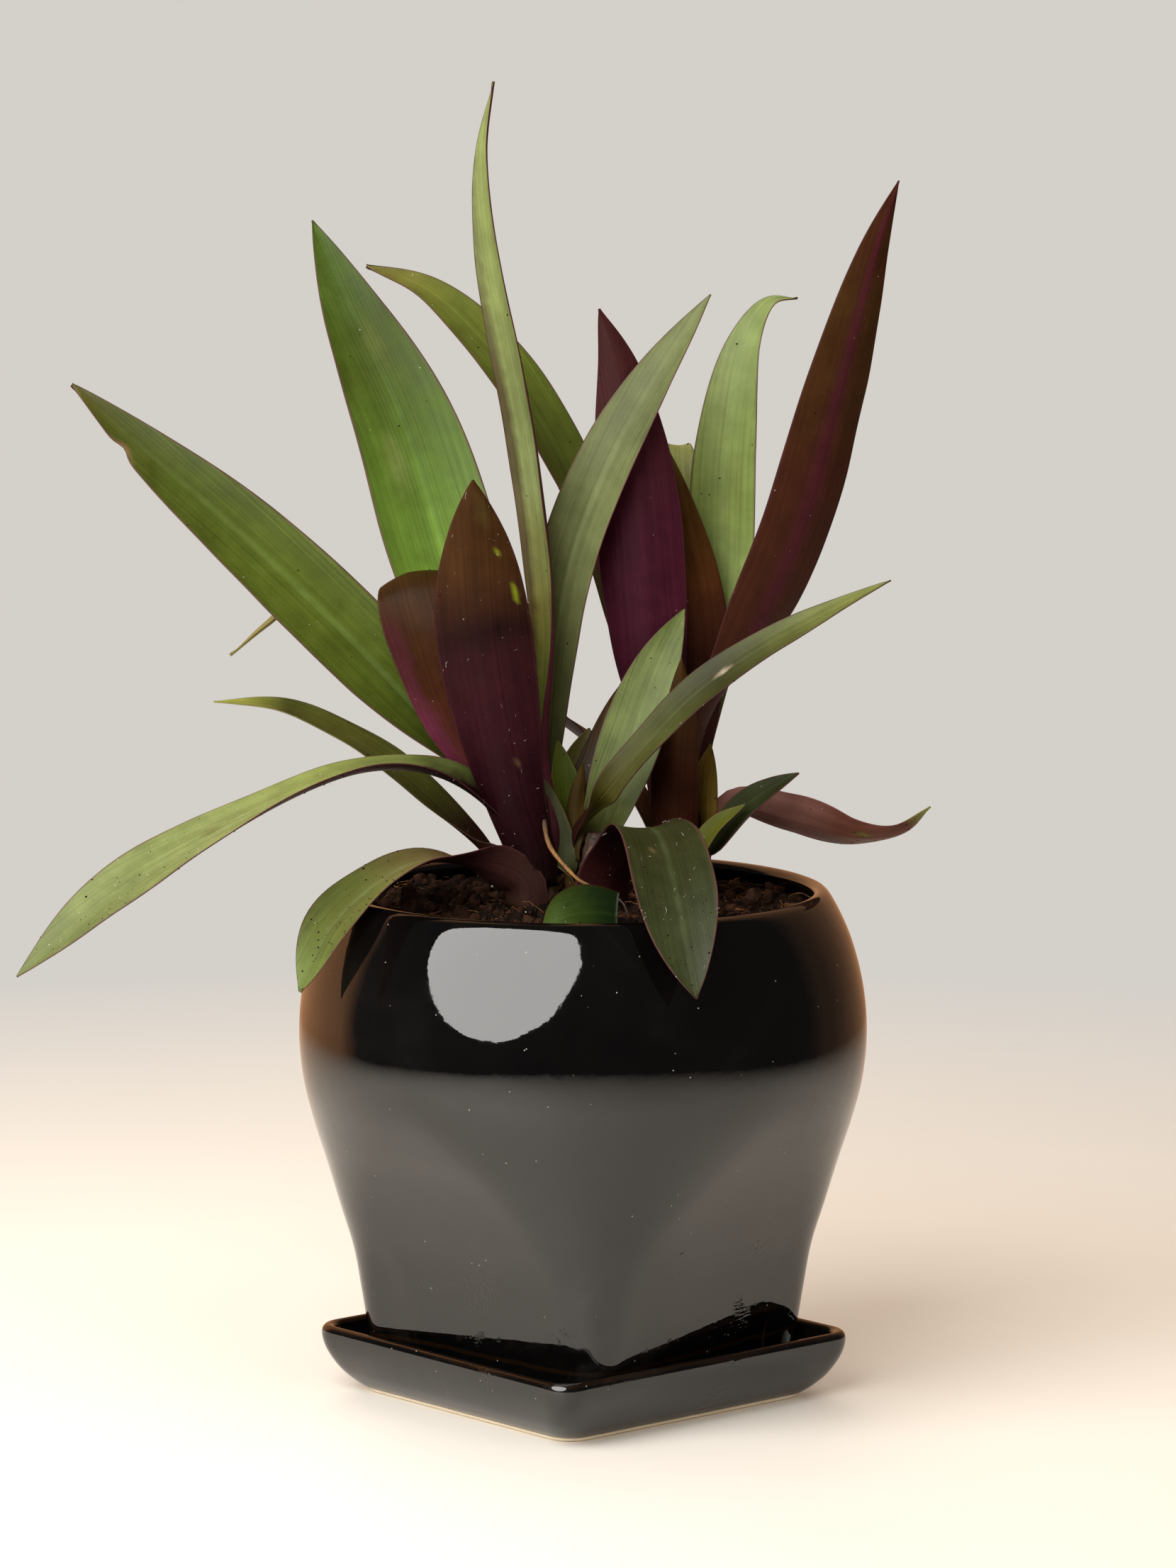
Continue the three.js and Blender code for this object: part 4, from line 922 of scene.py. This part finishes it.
def buildSoil():
    angle = circle(soil["around"])
    inset = pot["wall"] + clearance
    brimReach = insideStation(soil["level"], inset)[1]
    rings = []
    floorReach, floorRound = potAt(pot["floor"])
    below = [(pot["floor"] + clearance, floorReach - inset - pot["footInset"], floorRound)]
    below += [insideStation(height, inset) for height in reversed(pot["inside"])
              if height < soil["sideTop"]]
    for height, reach, roundness in below:
        ring = reachRing(height, reach, roundness)
        around = np.arctan2(ring[:, 1], ring[:, 0]) % (2 * math.pi)
        radius = np.interp(angle, around, np.hypot(ring[:, 0], ring[:, 1]), period=2 * math.pi)
        rings.append(ringOf(angle, radius, height))
    share = np.linspace(1, 0, soil["rings"], endpoint=False)[:, None]
    flat = np.stack([brimReach * share * np.cos(angle), brimReach * share * np.sin(angle),
                     np.zeros((soil["rings"], soil["around"]))], -1)
    inPlant = turned(flat, potTurn - plantTurn)
    fade = 1 - share ** soil["fade"]
    coarse = noiseAt(inPlant, soil["coarseScale"], 1) + 0.4
    fine = noiseAt(inPlant, soil["fineScale"], 2)
    rough = soil["coarse"] * coarse + soil["fine"] * fine - soil["settle"]
    flat[..., 2] = soil["level"] + fade * (soilRelief(inPlant[..., 0], inPlant[..., 1]) + rough)
    rings += list(flat)
    top = turned(flat, potTurn)[share[:, 0] < soil["strewnTo"]]
    return closedRings("soil_bed", turned(np.array(rings), potTurn), [dampPeat]), top


soilBed, soilTop = buildSoil()
dress(soilBed, "potting_soil", "potting_soil")
print("soil made")

strewInputs = [("Surface", "Geometry"), ("Per Square Metre", "Float"), ("Spacing", "Float"),
               ("Smallest", "Float"), ("Largest", "Float"), ("Tumble", "Float"),
               ("Ragged", "Float"), ("Seed", "Int"), ("Material", "Material")]


def ballShape(subdivisions):
    return lambda add: add("GeometryNodeMeshIcoSphere", {
        "Radius": 1.0, "Subdivisions": subdivisions}).outputs["Mesh"]


def chipShape(add):
    return add("GeometryNodeMeshCube", {"Size": (2.0, 0.95, 0.30), "Vertices X": 6, "Vertices Y": 4,
                                        "Vertices Z": 2}).outputs["Mesh"]


def fibreShape(add):
    line = add("GeometryNodeCurveQuadraticBezier", {
        "Resolution": 7, "Start": (-1.0, 0.0, 0.1), "Middle": (0.1, 0.8, 0.5),
        "End": (1.0, -0.1, 0.0)}).outputs["Curve"]
    ring = add("GeometryNodeCurvePrimitiveCircle", {"Resolution": 4, "Radius": 0.030})
    return add("GeometryNodeCurveToMesh", {"Curve": line, "Profile Curve": ring.outputs["Curve"],
                                           "Fill Caps": True}).outputs["Mesh"]


# A tree that strews one shape over a surface, more of it where the attribute `strewing` is high.
def strewTree(name, makeShape):
    tree = bpy.data.node_groups.new(name, "GeometryNodeTree")
    for label, kind in strewInputs:
        tree.interface.new_socket(label, in_out="INPUT", socket_type="NodeSocket" + kind)
    tree.interface.new_socket("Strewn", in_out="OUTPUT", socket_type="NodeSocketGeometry")
    add = graph(tree, "")
    given = add("NodeGroupInput").outputs
    weight = add("GeometryNodeInputNamedAttribute", {"Name": "strewing"}, data_type="FLOAT")
    spots = add("GeometryNodeDistributePointsOnFaces", {
        "Mesh": given["Surface"], "Distance Min": given["Spacing"],
        "Density Max": given["Per Square Metre"], "Density Factor": weight.outputs["Attribute"],
        "Seed": given["Seed"]}, distribute_method="POISSON")
    chance = add("FunctionNodeRandomValue", {2: 0.0, 3: 1.0, 8: 11}, data_type="FLOAT").outputs[1]
    rarer = add("ShaderNodeMath", {0: chance, 1: 2.2}, operation="POWER").outputs[0]
    gap = add("ShaderNodeMath", {0: given["Largest"], 1: given["Smallest"]}, operation="SUBTRACT")
    size = add("ShaderNodeMath", {0: rarer, 1: gap.outputs[0], 2: given["Smallest"]},
               operation="MULTIPLY_ADD").outputs[0]
    build = add("FunctionNodeRandomValue", {0: (0.6, 0.55, 0.45), 1: (1.0, 1.0, 0.9), 8: 23},
                data_type="FLOAT_VECTOR").outputs[0]
    scale = add("ShaderNodeVectorMath", {0: build, "Scale": size}, operation="SCALE").outputs[0]
    spin = add("FunctionNodeRandomValue", {0: (-3.14, -3.14, -3.14), 1: (3.14, 3.14, 3.14), 8: 37},
               data_type="FLOAT_VECTOR").outputs[0]
    freely = add("ShaderNodeCombineXYZ", {0: given["Tumble"], 1: given["Tumble"], 2: 1.0})
    turn = add("ShaderNodeVectorMath", {0: spin, 1: freely.outputs[0]}, operation="MULTIPLY")
    strewn = add("GeometryNodeInstanceOnPoints", {
        "Points": spots.outputs["Points"], "Instance": makeShape(add), "Rotation": turn.outputs[0],
        "Scale": scale}).outputs["Instances"]
    solid = add("GeometryNodeRealizeInstances", {"Geometry": strewn}).outputs["Geometry"]
    place = add("GeometryNodeInputPosition").outputs[0]
    rough = add("ShaderNodeTexNoise", {"Vector": place, "Scale": 700.0, "Detail": 2.0})
    centred = add("ShaderNodeVectorMath", {0: rough.outputs["Color"], 1: (0.5, 0.5, 0.5)},
                  operation="SUBTRACT").outputs[0]
    push = add("ShaderNodeVectorMath", {0: centred, "Scale": given["Ragged"]}, operation="SCALE")
    ragged = add("GeometryNodeSetPosition", {"Geometry": solid, "Offset": push.outputs[0]})
    smooth = add("GeometryNodeSetShadeSmooth", {"Geometry": ragged.outputs[0]}).outputs[0]
    skinned = add("GeometryNodeSetMaterial", {"Geometry": smooth, "Material": given["Material"]})
    add("NodeGroupOutput", {"Strewn": skinned.outputs[0]})
    return tree


shapes = {"strewCrumbs": ballShape(1), "strewLumps": ballShape(2), "strewChips": chipShape,
          "strewFibres": fibreShape}
crumbTree, lumpTree, chipTree, fibreTree = (strewTree(name, make) for name, make in shapes.items())


def strew(name, surface, slotName, tree, skin, *row):
    values = {**dict(zip(strewFields, row)), "Material": grainSkins[skin]}
    modifier = surface.modifiers.new(name, "NODES")
    modifier.node_group = tree
    for socket in tree.interface.items_tree:
        if socket.name in values:
            modifier[socket.identifier] = values[socket.name]
    evaluated = surface.evaluated_get(bpy.context.evaluated_depsgraph_get())
    mesh = bpy.data.meshes.new_from_object(evaluated)
    surface.modifiers.remove(modifier)
    piece = bpy.data.objects.new(name, mesh)
    bpy.context.scene.collection.objects.link(piece)
    dress(piece, slotName)
    print(name, "made:", len(mesh.polygons), "faces")


# A passing surface to strew on. It is removed once it has served.
def strewSurface(name, points, faces, weights):
    surface = meshObject(name, points, faces, [])
    layer = surface.data.attributes.new("strewing", "FLOAT", "POINT")
    layer.data.foreach_set("value", np.asarray(weights, np.float32).ravel())
    return surface


def crumbMaterial(name, dark, light, roughness, scale):
    material, shader, add, place = newMaterial(name)
    cells = add("TexVoronoi", {"Vector": place, "Scale": 260.0}).outputs["Color"]
    grain = noisy(add, place, scale, 5.0, Roughness=0.7)
    varied = maths(add, "MULTIPLY_ADD", cells, 0.55, both(add, grain, 0.75))
    colour = mixed(add, ranged(add, varied, 0.35, 1.0), tone(*dark), tone(*light))
    shader.inputs["Specular IOR Level"].default_value = soil["gloss"]
    return finish(material, shader, colour, roughness, bumped(add, grain, 0.8, 0.0006))


# Each kind of grain: its dark and its light tone, its roughness and the scale of its grain.
grains = {
    "peatCrumb": ((0.0011, 0.0005, 0.0003), (0.040, 0.0155, 0.0070), 0.75, 1200.0),
    "barkChip": ((0.004, 0.0013, 0.0006), (0.090, 0.034, 0.013), 0.65, 800.0),
    "darkBark": ((0.0020, 0.0009, 0.0006), (0.052, 0.023, 0.013), 0.6, 900.0),
    "perliteGrain": ((0.45, 0.42, 0.36), (0.85, 0.82, 0.76), 0.9, 1500.0),
    "rootlet": ((0.060, 0.024, 0.009), (0.26, 0.12, 0.045), 0.7, 900.0),
    "lintHair": ((0.45, 0.44, 0.42), (0.80, 0.79, 0.75), 0.9, 900.0),
}
grainSkins = {name: crumbMaterial(name, *values) for name, values in grains.items()}

strewFields = ("Per Square Metre", "Spacing", "Smallest", "Largest", "Tumble", "Ragged", "Seed")

# What lies on the soil: its tree and skin, then how many to a square metre, how close, the
# smallest and the largest, how far they tumble, how ragged they are, and the seed.
litter = {
    "soil_crumbs": (crumbTree, "peatCrumb", 330000.0, 0.0009, 0.00035, 0.0012, 1.0, 0.0008, 3),
    "soil_lumps": (lumpTree, "peatCrumb", 42000.0, 0.0024, 0.0009, 0.0036, 1.0, 0.0034, 5),
    "bark_chips": (chipTree, "barkChip", 7000.0, 0.005, 0.0016, 0.0070, 0.13, 0.0016, 12),
    "perlite_grains": (crumbTree, "perliteGrain", 2600.0, 0.005, 0.0004, 0.0014, 1.0, 0.0006, 8),
    "soil_fibres": (fibreTree, "rootlet", 16000.0, 0.0025, 0.0018, 0.0085, 0.14, 0.0015, 6),
}


def strewSoil():
    count, size = soilTop.shape[:2]
    surface = strewSurface("soilTop", soilTop, ringFaces(count, size), np.ones(count * size))
    for name, row in litter.items():
        strew(name, surface, "potting_soil", *row)
    bpy.data.objects.remove(surface)


strewSoil()

# Slabs of bark that stand in the soil: foot, head, width and thickness.
slabs = {
    "bark_slab_left": ((-0.0556, -0.0150, 0.1545), (-0.0546, -0.0115, 0.1655), 0.0050, 0.0016),
    "bark_slab_leaning": ((-0.0430, -0.0150, 0.1565), (-0.0370, 0.0000, 0.1610), 0.0030, 0.0014),
    "bark_slab_right": ((0.0500, 0.0050, 0.1550), (0.0560, 0.0100, 0.1605), 0.0040, 0.0014),
}


slabShape = {"rings": 26, "sides": 20, "split": 0.0007, "worn": 0.0006}


def buildSlab(name, foot, head, width, thick, seed):
    share = np.linspace(0, 1, slabShape["rings"])[:, None]
    foot, head = np.array(foot), np.array(head)
    along = unit(head - foot)
    side = unit(np.cross(along, (0.25, 1.0, 0.15)))
    out = np.cross(side, along)
    angle = circle(slabShape["sides"])[None]
    c, s = np.cos(angle), np.sin(angle)
    ends = np.clip(np.minimum(share / 0.06, (1 - share) / 0.10), 0.05, 1) ** 0.5
    x = np.sign(c) * np.abs(c) ** 0.45 * width / 2 * ends
    y = np.sign(s) * np.abs(s) ** 0.6 * thick / 2 * ends
    place = foot + (head - foot) * share[..., None] + x[..., None] * side + y[..., None] * out
    split = noiseAt(place * (1.0, 1.0, 0.35), 900.0, seed)[..., None]
    worn = noiseAt(place, 420.0, seed + 2)[..., None]
    place = place + slabShape["split"] * split * out + slabShape["worn"] * worn * side
    return closedRings(name, turned(place, plantTurn), [grainSkins["darkBark"]])


for number, (name, row) in enumerate(slabs.items()):
    dress(buildSlab(name, *row, 5.0 + number), "potting_soil")

# Grit that clings to the leaf bases and, thinly, to the blades, and hairs of lint.
cling = {
    "baseHeight": 0.158, "fading": 0.016, "elsewhere": 0.035,
    "grit": (crumbTree, "peatCrumb", 95000.0, 0.0007, 0.00012, 0.0005, 1.0, 0.0003, 21),
    "lint": (fibreTree, "lintHair", 15000.0, 0.002, 0.0004, 0.0017, 1.0, 0.0008, 17),
    "lintOn": ("leaf_middle_rim", "leaf_left_dark", "leaf_left_arching"),
}


def leafSurface(name, nodes, weigh):
    points, faces, start = [], [], 0
    for node in nodes:
        mesh = pieces[node].data
        place = np.empty(len(mesh.vertices) * 3)
        mesh.vertices.foreach_get("co", place)
        points.append(place.reshape(-1, 3))
        faces += [[start + corner for corner in face.vertices] for face in mesh.polygons]
        start += len(mesh.vertices)
    points = np.vstack(points)
    return strewSurface(name, points, faces, weigh(points[:, 2]))


def nearSoil(height):
    low = np.maximum(height - cling["baseHeight"], 0)
    return np.exp(-low / cling["fading"]) + cling["elsewhere"]


def strewLeaves():
    for name, nodes, weigh, slotName, row in (
            ("leaf_grit", pieces, nearSoil, "potting_soil", cling["grit"]),
            ("leaf_lint", cling["lintOn"], np.ones_like, "leaf_grey_green", cling["lint"])):
        surface = leafSurface("leafSkins", nodes, weigh)
        strew(name, surface, slotName, *row)
        bpy.data.objects.remove(surface)


strewLeaves()
print("soil and leaves strewn")


# Soft studio light: a round lamp to the left, weaker ones round it, and a dim warm room.
light = {
    # each lamp: the way to it, how far, how wide, its power and tint, and if it shows in the gloss
    "lamps": {
        "keyLamp": ((-0.519, -0.659, 0.545), 1.1, 1.3, 27.0, (1.0, 0.985, 0.955), True),
        "fillLamp": ((0.75, -0.60, 0.30), 1.8, 1.6, 7.0, (1.0, 0.93, 0.86), False),
        "backLamp": ((-0.35, 1.0, 0.45), 1.6, 1.4, 14.0, (1.0, 0.90, 0.80), False),
        "overheadLamp": ((0.05, 0.0, 1.0), 1.5, 1.4, 5.0, (1.0, 0.96, 0.92), False)},
    "aimHeight": 0.15,
    "backdrop": (0.66, 0.63, 0.59), "room": (0.045, 0.040, 0.037),
    "warmBack": (0.78, 0.37, 0.17), "bounce": (0.36, 0.285, 0.215), "ambient": 1.0,
}


def areaLight(name, direction, away, size, power, tint, glossy):
    lamp = bpy.data.lights.new(name, "AREA")
    lamp.shape = "DISK"
    lamp.size = size
    lamp.energy = power
    lamp.color = tint
    made = bpy.data.objects.new(name, lamp)
    bpy.context.scene.collection.objects.link(made)
    aim = Vector(turned(unit(np.array(direction)), plantTurn))
    made.location = Vector((0, 0, light["aimHeight"])) + aim * away
    made.rotation_euler = aim.to_track_quat("Z", "Y").to_euler()
    made.visible_camera = False
    made.visible_glossy = glossy


for name, values in light["lamps"].items():
    areaLight(name, *values)


def buildWorld():
    world = bpy.data.worlds.new("dimRoom")
    world.use_nodes = True
    tree = world.node_tree
    add = graph(tree, "ShaderNode")
    back = tree.nodes["Background"]
    # in the gloss the room is dark, with a warm wall behind the plant that fades to the right
    direction = add("NewGeometry").outputs["Position"]
    toBack, toRight = (Vector(turned(way, plantTurn)) for way in ((0.0, 1.0, 0.0), (1.0, 0.0, 0.0)))
    facing = add("VectorMath", {0: direction, 1: toBack}, operation="DOT_PRODUCT").outputs["Value"]
    sideways = add("VectorMath", {0: direction, 1: toRight}, operation="DOT_PRODUCT")
    height = add("SeparateXYZ", {"Vector": direction}).outputs["Z"]
    wall = both(add, ranged(add, facing, 0.24, 0.42), ranged(add, height, -0.6, -0.1))
    level = ranged(add, sideways.outputs["Value"], 0.85, -0.20, (0.14, 1.0))
    room = mixed(add, both(add, wall, level), tone(*light["room"]), tone(*light["warmBack"]))
    rays = add("LightPath").outputs
    lit = mixed(add, rays["Is Glossy Ray"], tone(*light["bounce"]), room)
    seen = mixed(add, rays["Is Camera Ray"], lit, tone(*light["backdrop"]))
    tree.links.new(seen, back.inputs["Color"])
    back.inputs["Strength"].default_value = light["ambient"]
    bpy.context.scene.world = world


buildWorld()


# A pale floor under the part, which fades into the backdrop.
ground = {
    "radius": 1.2, "height": -0.0002, "sides": 96, "roughness": 0.55, "fading": (0.85, 0.30),
    "tones": (tone(0.75, 0.715, 0.66), tone(0.79, 0.755, 0.70)),
}


def floorMaterial():
    material, shader, add, place = newMaterial("paleTable")
    colour = mixed(add, noisy(add, place, 9.0, 4.0), *ground["tones"])
    away = add("VectorMath", {0: place}, operation="LENGTH").outputs["Value"]
    link(material, ranged(add, away, *ground["fading"]), shader.inputs["Alpha"])
    return finish(material, shader, colour, ground["roughness"])


def buildFloor():
    rim = ringOf(circle(ground["sides"]), ground["radius"], ground["height"])
    made = meshObject("floor", rim, [tuple(range(ground["sides"]))], [floorMaterial()])


buildFloor()
print("light and floor made")

# The camera stands at the angle of the reference view.
view = {"lens": 94.647, "sensor": 24.0, "clipEnd": 50.0, "place": (1.4567, -1.2752, 0.4496),
        "tiltDown": 7.466, "pan": -0.0008}
camera = bpy.data.cameras.new("camera")
camera.sensor_fit = "VERTICAL"
camera.sensor_height = view["sensor"]
camera.lens = view["lens"]
camera.clip_end = view["clipEnd"]
viewer = bpy.data.objects.new("camera", camera)
viewer.location = view["place"]
viewer.rotation_euler = (math.radians(90 - view["tiltDown"]), 0.0, plantTurn + view["pan"])
bpy.context.scene.collection.objects.link(viewer)
bpy.context.scene.camera = viewer
bpy.context.scene.view_settings.view_transform = "Standard"

print("scene complete")
